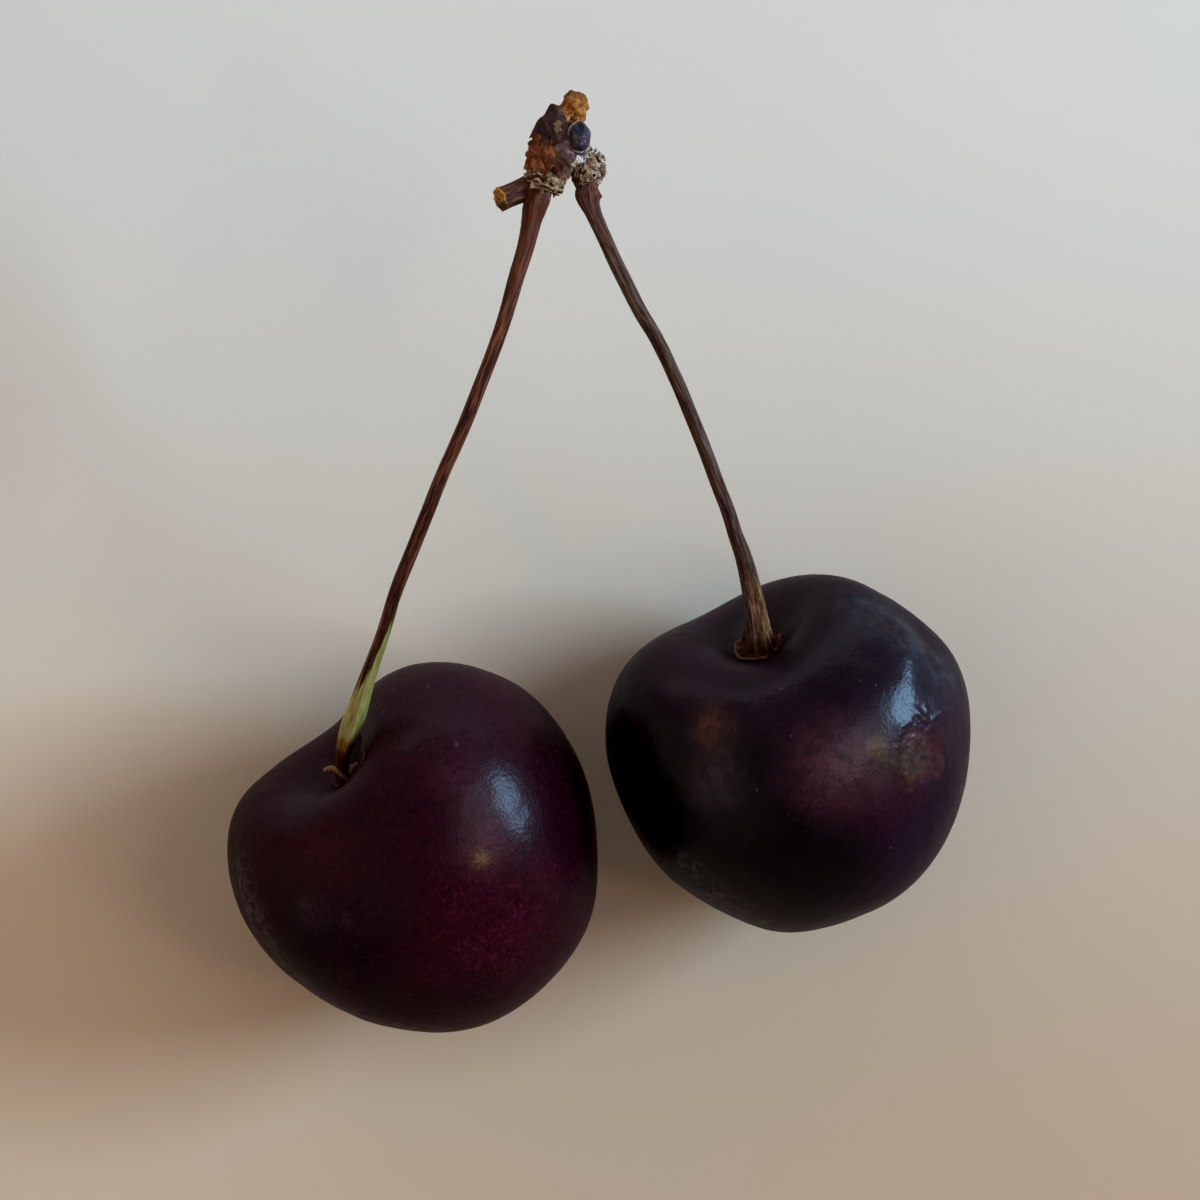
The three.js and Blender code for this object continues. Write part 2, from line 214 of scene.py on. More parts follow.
# ---- the fruits ---------------------------------------------------------------
ANGLES = [0, 6, 12, 18, 25, 33, 42, 52, 65, 80, 95, 110, 130, 150, 165, 180]
FRUITS = {
    "left": dict(
        centre=(-13.175, -18.299, 12.34), azimuth=134.5, elevation=25,
        cheek=[8.1, 8.4, 9.4, 10.9, 12.5, 13.6, 14.1, 14.1, 13.7, 13.3, 13.0, 12.8, 12.6, 12.5, 12.5, 12.5],
        front=[8.1, 8.3, 8.85, 9.6, 10.5, 11.3, 12.0, 12.5, 12.8, 12.8, 12.7, 12.6, 12.5, 12.5, 12.5, 12.5],
        back=[8.1, 8.3, 8.9, 9.7, 10.7, 11.6, 12.2, 12.5, 12.5, 12.4, 12.3, 12.2, 12.2, 12.3, 12.4, 12.5],
        bumps=[(20, 50, 0.45, 34), (70, 50, 0.55, 24), (196, 42, 0.45, 26), (214, 68, -0.75, 15),
               (246, 55, -0.45, 15), (262, 38, -0.30, 15), (325, 25, 0.25, 30)],
        ripples=[(0.10, 2.3, 1.1, 0.7, 0.4), (0.08, -1.7, 2.9, 1.3, 2.1), (0.07, 3.9, -2.2, 2.6, 4.4), (0.05, -4.8, 3.1, 3.9, 1.2)],
        plan=[(0.023, 0), (0.0285, -0.0326), (0.0059, -0.0154), (-0.0246, 0.0085), (-0.0106, -0.0107),
              (0.0071, 0.0004), (-0.0026, -0.0038), (0.0009, 0.0006), (-0.0038, 0.0008)]),
    "right": dict(
        centre=(13.921, -12.162, 12.10), azimuth=105, elevation=24.5,
        cheek=[8.4, 8.65, 9.5, 10.9, 12.4, 13.4, 13.8, 13.75, 13.4, 13.0, 12.7, 12.5, 12.3, 12.2, 12.2, 12.2],
        front=[8.4, 8.55, 9.1, 9.9, 10.8, 11.6, 12.3, 12.7, 12.75, 12.6, 12.5, 12.3, 12.2, 12.2, 12.2, 12.2],
        back=[8.4, 8.6, 9.2, 10.1, 11.1, 12.0, 12.5, 12.7, 12.6, 12.4, 12.3, 12.2, 12.2, 12.2, 12.2, 12.2],
        bumps=[(64, 24, 0.7, 24), (46, 24, -0.50, 10), (38, 36, -0.25, 8), (28, 35, 0.35, 22),
               (158, 24, 0.45, 26), (150, 55, -0.30, 22), (250, 60, 0.25, 30)],
        ripples=[(0.10, -2.1, 1.6, 0.9, 1.4), (0.09, 1.9, 2.6, -1.5, 3.1), (0.08, 3.4, 2.4, 2.2, 0.4), (0.05, 4.1, -3.7, 3.3, 5.2)],
        plan=[(0.0234, 0), (0.0304, 0.0538), (-0.0086, -0.0156), (-0.0009, -0.0057), (0.0148, 0.0145),
              (-0.0112, 0.0169), (-0.0135, -0.0041), (0.0014, -0.0037), (0.0045, -0.0026)]),
}


def direction(az, el):
    a, e = math.radians(az), math.radians(el)
    return np.array([math.cos(a) * math.cos(e), math.sin(a) * math.cos(e), math.sin(e)])


def fruit_axes(f):
    z = direction(f["azimuth"], f["elevation"])
    a = math.radians(f["azimuth"])
    x = np.array([math.sin(a), -math.cos(a), 0.0])
    return x, np.cross(z, x), z


def fruit_surface(f, n):
    """Layout points of the fruit along n, unit vectors in its own frame."""
    th = np.degrees(np.arccos(np.clip(n[..., 2], -1, 1)))
    level = np.hypot(n[..., 0], n[..., 1]) + 1e-12
    c, s = n[..., 0] / level, n[..., 1] / level
    w, g = c * c, 0.5 + 0.5 * s
    R = Spline(ANGLES, f["cheek"])(th) * w + (Spline(ANGLES, f["front"])(th) * g + Spline(ANGLES, f["back"])(th) * (1 - g)) * (1 - w)
    nw = n @ np.array(fruit_axes(f))
    for az, el, height, width in f["bumps"]:
        angle = np.degrees(np.arccos(np.clip(nw @ direction(az, el), -1, 1)))
        R = R + height * np.exp(-(angle / width) ** 2)
    for A, kx, ky, kz, p in f["ripples"]:
        R = R + A * np.sin(kx * n[..., 0] + ky * n[..., 1] + kz * n[..., 2] + p)
    P = R[..., None] * nw
    angle = np.arctan2(P[..., 1], P[..., 0])
    out = np.hypot(P[..., 0], P[..., 1])
    k = 0.0
    for i, (ca, sa) in enumerate(f["plan"]):
        k = k + ca * np.cos(i * angle) + sa * np.sin(i * angle)
    k = 1.0 + k * smooth((out - 3.0) / 8.0)
    P = P * np.stack([k, k, np.ones_like(k)], -1)
    return P + np.array(f["centre"])


def fruit_grid(rows, cols, dense_at=None, dense=0.0, row_at=None):
    t = np.linspace(0.0, 1.0, rows)
    if row_at is not None:              # rows closer together around one level
        t = t - 0.45 * (np.sin(2 * np.pi * (t - row_at)) + math.sin(2 * np.pi * row_at)) / (2 * np.pi)
    th = np.pi * (0.55 * t + 0.45 * t ** 1.6)
    p = np.arange(cols) * 2 * np.pi / cols
    if dense_at is not None:            # columns closer together around one angle
        p = p - dense * np.sin(p - dense_at)
    T, Ph = np.meshgrid(th, p, indexing="ij")
    return np.stack([np.sin(T) * np.cos(Ph), np.sin(T) * np.sin(Ph), np.cos(T)], -1)


def grid_normals(P, outward_from):
    d_row = np.gradient(P, axis=0)
    d_col = (np.roll(P, -1, 1) - np.roll(P, 1, 1)) * 0.5
    N = unit(np.cross(d_row, d_col))
    flip = np.sign(np.sum(N * (P - outward_from), -1).mean())
    N = N * flip
    N[0] = unit(N[1].mean(0))
    N[-1] = unit(N[-2].mean(0))
    return N


def spot(P, u, v):
    """The point of the upper skin that shows at pixel (u, v)."""
    q = P.reshape(-1, 3)
    q = q[q[:, 2] > 9.0]
    d = np.hypot(*(to_pixel(q) - np.array([u, v])).T)
    near = q[np.argsort(d)[:16]]
    near = near[near[:, 2] > near[:, 2].max() - 2.0][:4]        # the camera's side, not the one behind it
    return near.mean(0)


def segment_distance(P, a, b):
    ab = b - a
    t = np.clip(((P - a) @ ab) / (ab @ ab), 0, 1)
    return np.linalg.norm(P - (a + t[..., None] * ab), axis=-1)


def path_distance(P, points):
    d = np.full(P.shape[:-1], 1e9)
    for a, b in zip(points[:-1], points[1:]):
        d = np.minimum(d, segment_distance(P, np.asarray(a), np.asarray(b)))
    return d


MARKS = {}


def build_fruit(side, rows, cols, relief, dense_at=None, dense=0.0, row_at=None):
    f = FRUITS[side]
    n = fruit_grid(rows, cols, dense_at, dense, row_at)
    P = fruit_surface(f, n)
    C = np.array(f["centre"])
    N = grid_normals(P, C)
    extra = relief(P, N, n)
    attrs = {}
    if isinstance(extra, tuple):
        extra, attrs = extra
    P = P + N * extra[..., None]
    P[0] = P[0].mean(0)
    P[-1] = P[-1].mean(0)
    z = P[..., 2]
    P[..., 2] = 0.5 * (z + np.sqrt(z * z + 0.05 ** 2))      # rests on a small pressed flat
    V = np.concatenate([P[:1, 0], P[1:-1].reshape(-1, 3), P[-1:, 0]])
    F = [(0, 1 + j, 1 + (j + 1) % cols) for j in range(cols)]
    F += [tuple(i + 1 for i in q) for q in ring_faces(rows - 2, cols)]
    last, base = len(V) - 1, 1 + (rows - 3) * cols
    F += [(last, base + (j + 1) % cols, base + j) for j in range(cols)]
    flat = {k: np.concatenate([a[:1, 0], a[1:-1].reshape(-1), a[-1:, 0]]) for k, a in attrs.items()}
    body = Body().add(V, F, **flat)
    return body.make("cherry_%s_skin" % side), P


def skin_waves(P, seed):
    """Slow unevenness of a ripe fruit's skin, and a faint dimpling."""
    return (0.075 * fbm(P * 0.22, 2, seed) + 0.022 * fbm(P * 0.75, 2, seed + 5)
            + 0.0045 * noise(P * 2.6, seed + 9))


def far_end(n):
    """A shallow dimple with a small scar where the flower's style was."""
    a = np.degrees(np.arccos(np.clip(-n[..., 2], -1, 1)))
    return -0.22 * np.exp(-(a / 7.0) ** 2) + 0.10 * np.exp(-(a / 1.6) ** 2)


def relief_left(P, N, n):
    d = skin_waves(P, 3) + far_end(n)
    # a deeper hollow beside the stalk's foot
    d = d - 0.55 * np.exp(-(path_distance(P, [spot(P, 357.5, 747), spot(P, 355.5, 760)]) / 0.75) ** 2)
    # shallow scuffs along the lower left side
    line = [spot(P, *q) for q in ((240, 881), (250, 910), (262, 936), (280, 962), (300, 981), (324, 1000))]
    m = np.exp(-(path_distance(P, line) / 0.9) ** 2)
    d = d - 0.018 * m * smooth(0.5 + fbm(P * 1.6, 3, 41))
    MARKS["left"] = dict(
        scuff=line, glow=spot(P, 500, 925), glow2=spot(P, 440, 970), brown=spot(P, 316, 866), centre=spot(P, 440, 850),
        grey1=spot(P, 305, 915), grey2=spot(P, 310, 800), dusk=spot(P, 430, 700), shade=spot(P, 574, 762), glow3=spot(P, 532, 888), halo=[spot(P, 456, 772), spot(P, 476, 800), spot(P, 484, 838)], low=[spot(P, 380, 1002), spot(P, 430, 1004), spot(P, 474, 992)], hollow=[spot(P, 358, 749), spot(P, 354, 762), spot(P, 366, 742)], shade2=spot(P, 590, 862), gold=spot(P, 480, 859), lobe=spot(P, 285, 860), dark=spot(P, 330, 950),
        speck=[spot(P, *q) for q in ((428, 686), (383, 712), (394, 690), (456, 744))],
        blot=[spot(P, *q) for q in ((314, 913), (306, 903), (345, 920))],
        end=P[-1, 0])
    return d


def relief_right(P, N, n):
    d = skin_waves(P, 23) + far_end(n)
    c = spot(P, 918, 758)
    across = unit(np.cross(spot(P, 918, 730) - c, np.array([0, 0, 1.0])))
    along = unit(spot(P, 922, 730) - c)
    q = P - c
    x, y = q @ across, q @ along
    r = np.sqrt((x / 1.80) ** 2 + (y / 2.40) ** 2 + (np.linalg.norm(q, axis=-1) > 6.0) * 9.0)
    edge = r + 0.42 * fbm(P * 0.62, 4, 51)
    inside = smooth((1.12 - edge) / 0.42)
    wrinkle = 1.0 - 2.0 * np.abs(fbm(P * 1.5, 3, 61))
    d = d + inside * (-0.085 + 0.050 * wrinkle) + 0.020 * np.exp(-((edge - 1.10) / 0.16) ** 2)
    # small cracks above the bruise
    for pts, h, w in ((((899, 728), (903, 724), (907, 724)), 0.042, 0.19), (((913, 706), (916, 711), (919, 714)), 0.050, 0.17),
                      (((919, 710), (923, 716), (926, 721)), 0.058, 0.17), (((925, 708), (927, 713)), 0.055, 0.17),
                      (((921, 708), (925, 712), (929, 718)), -0.045, 0.16), (((934, 718), (938, 715), (941, 711)), 0.052, 0.19),
                      (((940, 712), (946, 710)), 0.045, 0.17), (((915, 717), (921, 722), (926, 727)), -0.050, 0.18),
                      (((944, 720), (950, 726)), 0.030, 0.20), (((935, 764), (937, 774)), -0.040, 0.20), (((941, 772), (946, 778)), -0.035, 0.20)):
        line = [spot(P, *p) for p in pts]
        d = d + h * np.exp(-(path_distance(P, line) / w) ** 2)
    # the upper right shoulder stays high, then folds in two soft ridges with a groove between
    for pts, h, w in ((((893, 634), (901, 641), (907, 650)), 0.58, 1.9), (((905, 662), (909, 684), (911, 702)), -0.048, 1.65),
                      (((921, 660), (925, 674), (926, 690), (926, 704)), -0.030, 0.90), (((938, 670), (941, 690), (942, 708)), 0.10, 1.10)):
        d = d + h * np.exp(-(path_distance(P, [spot(P, *p) for p in pts]) / w) ** 2)
    pit = spot(P, 703, 888)
    d = d - 0.12 * np.exp(-(np.linalg.norm(P - pit, axis=-1) / 0.22) ** 2)
    line = [spot(P, *q2) for q2 in ((690, 868), (702, 882), (716, 898), (735, 912), (756, 921))]
    m = np.exp(-(path_distance(P, line) / 0.9) ** 2)
    d = d - 0.018 * m * smooth(0.5 + fbm(P * 1.6, 3, 43))
    MARKS["right"] = dict(
        scuff=line, bruise=c, glow2=spot(P, 870, 860), dark=spot(P, 680, 855), dark_side=spot(P, 625, 780), black=[spot(P, *q2) for q2 in ((650, 800), (690, 850), (735, 856), (775, 852), (815, 878))],
        patch=spot(P, 715, 781), tan1=spot(P, 711, 729), tan2=spot(P, 877, 745), pink=spot(P, 828, 764), side=spot(P, 948, 728), warm3=spot(P, 871, 768), tan_c=spot(P, 912, 759), violet=spot(P, 895, 870),
        red=[spot(P, *q2) for q2 in ((806, 806), (830, 816), (856, 818), (880, 810), (902, 796))], warm2=spot(P, 886, 756),
        rim=[spot(P, *q2) for q2 in ((899, 752), (898, 760), (899, 769), (901, 778), (905, 785), (911, 789))],
        rust=[spot(P, *q2) for q2 in ((936, 731), (939, 739), (938, 748), (903, 742))],
        dark_spot=[spot(P, *q2) for q2 in ((936, 769), (943, 776), (924, 714), (934, 760))], upper=spot(P, 880, 620), well=[spot(P, 735, 640), spot(P, 800, 640), spot(P, 830, 662)], black2=[spot(P, 752, 768), spot(P, 752, 812), spot(P, 668, 742)],
        upleft=[spot(P, 640, 692), spot(P, 680, 690), spot(P, 722, 698)], bloomy=[spot(P, 866, 606), spot(P, 892, 627), spot(P, 912, 650), spot(P, 941, 672)], pit=pit,
        speck=[spot(P, *s) for s in ((781, 688), (735, 728), (757, 790), (791, 735), (890, 848), (876, 685))],
        end=P[-1, 0])
    return d, {"bruise": inside}


skin_left, PL = build_fruit("left", 218, 440, relief_left)
skin_right, PR = build_fruit("right", 218, 440, relief_right, dense_at=math.radians(20.0), dense=0.42, row_at=0.485)

# ---- stalks -------------------------------------------------------------------
STALK_LEFT = [
    (-18.52, -13.02, 15.93, 0.44), (-18.66, -12.75, 16.20, 0.46), (-18.66, -12.32, 16.52, 0.470), (-18.48, -11.33, 17.40, 0.520), (-18.12, -9.98, 18.70, 0.640), (-17.72, -8.88, 19.70, 0.725),
    (-17.24, -7.85, 20.60, 0.715), (-16.84, -6.77, 21.40, 0.650), (-16.45, -5.70, 22.10, 0.580), (-15.60, -3.50, 23.30, 0.504),
    (-14.98, -1.74, 24.00, 0.471), (-14.40, 0.00, 24.60, 0.459), (-13.60, 2.08, 25.30, 0.461), (-12.73, 4.15, 25.90, 0.460),
    (-11.87, 6.21, 26.40, 0.459), (-10.96, 8.27, 26.80, 0.455), (-10.12, 10.33, 27.00, 0.454), (-9.22, 12.38, 27.20, 0.458),
    (-8.39, 14.44, 27.30, 0.461), (-7.56, 16.50, 27.40, 0.467), (-6.81, 18.56, 27.40, 0.488), (-6.16, 20.63, 27.30, 0.526),
    (-5.58, 22.71, 27.10, 0.558), (-5.27, 23.76, 27.00, 0.578), (-4.99, 24.80, 26.90, 0.606), (-4.72, 25.85, 26.80, 0.662),
    (-4.48, 26.82, 26.70, 0.793), (-4.30, 27.52, 26.60, 0.914), (-4.20, 28.05, 26.55, 0.935), (-4.08, 28.60, 26.52, 0.80),
]
STALK_RIGHT = [
    (11.66, -3.80, 15.85, 1.55), (11.60, -3.50, 16.05, 1.40), (11.53, -3.22, 16.30, 1.24), (11.46, -2.80, 16.75, 1.080), (11.38, -2.30, 17.30, 0.940), (11.25, -1.57, 17.90, 0.837),
    (11.02, -0.33, 18.90, 0.755), (10.71, 0.92, 19.90, 0.695), (10.36, 2.19, 20.80, 0.636), (9.93, 3.52, 21.60, 0.571),
    (9.56, 4.57, 22.10, 0.524), (9.23, 5.61, 22.60, 0.498), (8.86, 6.65, 23.00, 0.483), (8.43, 7.69, 23.40, 0.475),
    (8.01, 8.73, 23.80, 0.475), (7.19, 10.79, 24.50, 0.473), (6.35, 12.84, 25.10, 0.472), (5.40, 14.89, 25.60, 0.475),
    (4.40, 16.94, 26.00, 0.474), (3.32, 18.99, 26.30, 0.477), (2.24, 21.05, 26.50, 0.476), (1.17, 23.10, 26.65, 0.479),
    (0.23, 25.16, 26.75, 0.493), (-0.23, 26.19, 26.80, 0.524), (-0.58, 27.09, 26.80, 0.620), (-0.77, 27.64, 26.80, 0.775),
    (-0.81, 28.00, 26.80, 0.850), (-0.80, 28.50, 26.80, 0.70),
]


def tube(rows, sections, sides, shape, flatten=1.0, wander=0.0, seed=0):
    """Rings along rows of (x, y, z, radius). shape(s, a) scales the radius; angle 0 is to the right, 90 degrees up."""
    rows = np.array(rows, float)
    s = np.concatenate([[0], np.cumsum(np.linalg.norm(np.diff(rows[:, :3], axis=0), axis=1))])
    path, rad = Spline(s, rows[:, :3], natural=True), Spline(s, rows[:, 3], natural=True)
    S = np.linspace(0, s[-1], sections)
    C = path(S)
    if wander:
        C = C + wander * np.stack([noise(np.stack([S * 0.35, S * 0 + k * 9.1, S * 0], -1), seed + k) for k in range(3)], -1)
    T = unit(np.gradient(C, axis=0))
    n1 = unit(np.array([1.0, 0, 0]) - T * T[:, :1])
    n2 = np.cross(n1, T)
    n2 = n2 * np.sign(n2[:, 2:3] + 1e-9)
    a = np.arange(sides) * 2 * np.pi / sides
    SS, AA = np.meshgrid(S, a, indexing="ij")
    R = rad(S)[:, None] * shape(SS, AA)
    off = R[..., None] * (np.cos(AA)[..., None] * n1[:, None] + np.sin(AA)[..., None] * n2[:, None])
    off[..., 2] *= flatten
    P = C[:, None] + off
    flow = np.stack([np.cos(AA), np.sin(AA), SS], -1)
    return P, flow, s[-1]


def around_noise(S, A, k_around, k_along, seed, octaves=3):
    return fbm(np.stack([np.cos(A) * k_around + 5.0, np.sin(A) * k_around + 5.0, S * k_along], -1), octaves, seed)


def shape_left(S, A):
    L = 46.0
    ridge = 0.045 * np.sin(5 * A + 0.10 * S + 0.6) + 0.020 * np.sin(9 * A - 0.16 * S + 1.2)
    fine = 0.030 * around_noise(S, A, 2.6, 0.16, 11) + 0.016 * around_noise(S, A, 6.0, 0.22, 13, 2)
    head = smooth((S - (L - 4.0)) / 3.0)
    knobs = 0.09 * head * around_noise(S, A, 1.6, 1.1, 17)
    return 1 + ridge + fine + knobs


RIGHT_LENGTH = float(np.sum(np.linalg.norm(np.diff(np.array(STALK_RIGHT)[:, :3], axis=0), axis=1)))


def shape_right(S, A):
    grooves = 0.060 * np.sin(5 * A + 0.22 * S + 2.2) + 0.045 * np.sin(3 * A - 0.13 * S + 0.4)
    fine = 0.065 * around_noise(S, A, 2.3, 0.13, 19) + 0.040 * around_noise(S, A, 5.5, 0.20, 23, 2)
    foot = np.exp(-S / 3.0)
    fibres = 0.05 * foot * np.sin(17 * A + 0.5 * np.sin(2.1 * S)) + 0.06 * foot * around_noise(S, A, 5.0, 0.3, 29)
    end = S - RIGHT_LENGTH
    knob = 0.30 * np.exp(-((end + 0.80) / 0.42) ** 2) * np.exp(-((A + 0.15 - 2 * np.pi * (A > np.pi)) / 0.85) ** 2)
    crumple = np.exp(-((end + 1.2) / 1.5) ** 2) * (0.16 * around_noise(S, A, 1.5, 1.0, 31) + 0.06 * around_noise(S, A, 3.6, 2.0, 33))
    return 1 + grooves + fine + fibres + knob + crumple


def build_stalk(name, rows, sections, sides, shape, wander, seed):
    P, flow, length = tube(rows, sections, sides, shape, wander=wander, seed=seed)
    V, F = closed_rings(P)
    fl = np.concatenate([flow.reshape(-1, 3), [[0, 0, 0], [0, 0, length]]])
    return Body().add(V, F, flow=fl).make(name), length


# ---- dried flower remnants in the stem cavities -------------------------------------


def cavity(side):
    f = FRUITS[side]
    x, y, z = fruit_axes(f)
    pit = fruit_surface(f, np.array([[0.0, 0, 1.0]]))[0]
    return pit, x, y, z


def wire(points, radii, sides=12, sections=40, lumps=0.12, seed=0):
    """A thin closed tapered strand through layout points."""
    pts = np.array(points, float)
    s = np.concatenate([[0], np.cumsum(np.linalg.norm(np.diff(pts, axis=0), axis=1))])
    S = np.linspace(0, s[-1], sections)
    C, R = Spline(s, pts, natural=True)(S), np.interp(S, s, radii)
    T = unit(np.gradient(C, axis=0))
    up = np.array([0.3, 0.2, 0.9])
    n1 = unit(np.cross(T, up))
    n2 = np.cross(T, n1)
    a = np.arange(sides) * 2 * np.pi / sides
    off = np.cos(a)[None, :, None] * n1[:, None] + np.sin(a)[None, :, None] * n2[:, None]
    P = C[:, None] + off * R[:, None, None]
    P = P + off * (lumps * R[:, None] * fbm(P * 3.5, 2, seed))[..., None]
    return closed_rings(P)


def plate(outline, top, base, rise=0.1, rings=7, per=5, rough=0.02, seed=0, tilt=(0.0, 0.0), edge_drop=0.0):
    """A closed slab over a layout outline (x, y); top and base are its heights, rise its crown."""
    o = np.array(outline, float)
    n = len(o)
    t = np.arange(n * per) / per
    xs = np.stack([np.interp(t, np.arange(n + 1), np.append(o[:, k], o[0, k])) for k in (0, 1)], -1)
    for _ in range(2):
        xs = 0.25 * np.roll(xs, 1, 0) + 0.5 * xs + 0.25 * np.roll(xs, -1, 0)
    c = xs.mean(0)
    cols = len(xs)
    P, edge = [], []
    for i in range(1, rings + 1):
        k = i / rings
        q = c + (xs - c) * k
        z = top + rise * (1 - k * k) - edge_drop * k ** 6 + tilt[0] * (q[:, 0] - c[0]) + tilt[1] * (q[:, 1] - c[1])
        P.append(np.column_stack([q, z]))
        edge.append(np.full(cols, k))
    for i, k in ((0, 1.0), (1, 0.96), (2, 0.5)):
        q = c + (xs - c) * (1.0 if i == 0 else k)
        z = np.full(cols, base) + (0.3 * (top - base) if i == 0 else 0) + tilt[0] * (q[:, 0] - c[0]) + tilt[1] * (q[:, 1] - c[1])
        P.append(np.column_stack([q, z]))
        edge.append(np.full(cols, 1.0))
    P = np.array(P)
    d = rough * fbm(P * 3.0, 3, seed)
    P = P + d[..., None] * np.array([0.7, 0.7, 1.0])
    V, F = closed_rings(P, tip0=np.array([c[0], c[1], top + rise]))
    e = np.concatenate([np.concatenate(edge), [0.0, 1.0]])
    return V, F, e


def flake(base, out, up, length, width, thick, curl=0.3, cup=0.2, seed=0, nu=11, nv=8, ragged=0.12):
    """One dry scale: a curved shell from its base outwards. Gives vertices, faces and how near the edge each is."""
    out, up = unit(out), unit(up)
    side = unit(np.cross(out, up))
    up = np.cross(side, out)
    u = np.linspace(0, 1, nu)[:, None]
    v = np.linspace(-1, 1, nv)[None, :]
    w = 0.5 * width * (0.45 + 0.75 * np.sin(np.pi * np.clip(u * 0.86 + 0.10, 0, 1)) - 0.35 * u ** 3)
    jag = 1 + ragged * fbm(np.stack([u * 6 + 0 * v, v * 3 + 0 * u, 0 * u * v + seed * 1.7], -1), 2, seed)
    x = length * u * (1 - 0.12 * v * v) * (1 + 0.5 * (jag - 1) * (u > 0.9))
    y = w * v * jag
    h = curl * length * u ** 2 + cup * width * (v * v) * (0.4 + 0.6 * u) + 0.10 * width * fbm(np.stack([u * 3 + 0 * v, v * 2 + 0 * u, 0 * u * v + seed], -1), 2, seed + 3)
    t = thick * (1.1 - 0.75 * u) * (1.0 - 0.55 * v * v)
    mid = np.asarray(base) + x[..., None] * out + y[..., None] * side + h[..., None] * up
    A = mid + 0.5 * t[..., None] * up
    B = mid - 0.5 * t[..., None] * up
    V = np.concatenate([A.reshape(-1, 3), B.reshape(-1, 3)])
    n = nu * nv
    F = ring_faces(nu, nv, 0, wrap=False) + [tuple(reversed(q)) for q in ring_faces(nu, nv, n, wrap=False)]
    rim = [i * nv for i in range(nu)] + [(nu - 1) * nv + j for j in range(1, nv)] + [i * nv + nv - 1 for i in range(nu - 2, -1, -1)] + [j for j in range(nv - 2, 0, -1)]
    for a, b in zip(rim, rim[1:] + rim[:1]):
        F.append((a, b, b + n, a + n))
    e = np.maximum(np.abs(v) ** 2 * np.ones_like(u), smooth((u - 0.55) / 0.45) * np.ones_like(v)).ravel()
    return V, F, np.concatenate([e, e])


def lump(centre, size, rows=30, cols=44, rough=0.12, scale=1.6, seed=0, axis=(0, 0, 1.0), octaves=3):
    """A closed uneven rounded body."""
    w = unit(axis)
    x = unit(np.cross(w, [0.31, 0.87, 0.37]))
    y = np.cross(w, x)
    th = np.linspace(0.06, math.pi - 0.06, rows)
    ph = np.arange(cols) * 2 * np.pi / cols
    T, Ph = np.meshgrid(th, ph, indexing="ij")
    n = np.stack([np.sin(T) * np.cos(Ph), np.sin(T) * np.sin(Ph), np.cos(T)], -1)
    k = 1 + rough * fbm(n * scale + seed * 3.1, octaves, seed)
    q = n * np.array(size) * k[..., None]
    P = np.asarray(centre) + q[..., :1] * x + q[..., 1:2] * y + q[..., 2:] * w
    V, F = closed_rings(P)
    return V, F


def fuse(parts, voxel, crumple=((1.8, 0.06), (5.0, 0.025)), seed=0, reach=None):
    """One closed skin over overlapping closed parts (vertices, faces, values), all in millimetres."""
    V, F, keys = [], [], sorted({k for p in parts for k in p[2]})
    vals = {k: [] for k in keys}
    base = 0
    for pv, pf, pa in parts:
        V.append(pv)
        F += [tuple(i + base for i in q) for q in pf]
        for k in keys:
            vals[k].append(np.broadcast_to(np.asarray(pa.get(k, 0.0), float), (len(pv),)))
        base += len(pv)
    V = np.concatenate(V)
    vals = {k: np.concatenate(v) for k, v in vals.items()}
    me = bpy.data.meshes.new("parts")
    me.from_pydata(V.tolist(), [], F)
    ob = bpy.data.objects.new("parts", me)
    bpy.context.scene.collection.objects.link(ob)
    m = ob.modifiers.new("skin", "REMESH")
    m.mode, m.voxel_size = "VOXEL", voxel
    graph = bpy.context.evaluated_depsgraph_get()
    graph.update()
    ev = ob.evaluated_get(graph)
    em = ev.to_mesh()
    W, N = np.empty(len(em.vertices) * 3), np.empty(len(em.vertices) * 3)
    em.vertices.foreach_get("co", W)
    em.vertices.foreach_get("normal", N)
    W, N = W.reshape(-1, 3), N.reshape(-1, 3)
    faces = [tuple(p.vertices) for p in em.polygons]
    ev.to_mesh_clear()
    bpy.data.objects.remove(ob)
    bpy.data.meshes.remove(me)
    tree = KDTree(len(V))
    for i, v in enumerate(V):
        tree.insert(v, i)
    tree.balance()
    out = {k: np.zeros(len(W)) for k in keys}
    for i, w in enumerate(W):
        near = tree.find_n(w, 5)
        g = np.array([1.0 / (d + 0.02) for _, _, d in near])
        g /= g.sum()
        j = [n[1] for n in near]
        for k in keys:
            out[k][i] = (vals[k][j] * g).sum()
    for i, (scale, amount) in enumerate(crumple):
        W = W + N * (amount * fbm(W * scale, 3, seed + 17 * i))[:, None]
    return W, faces, out


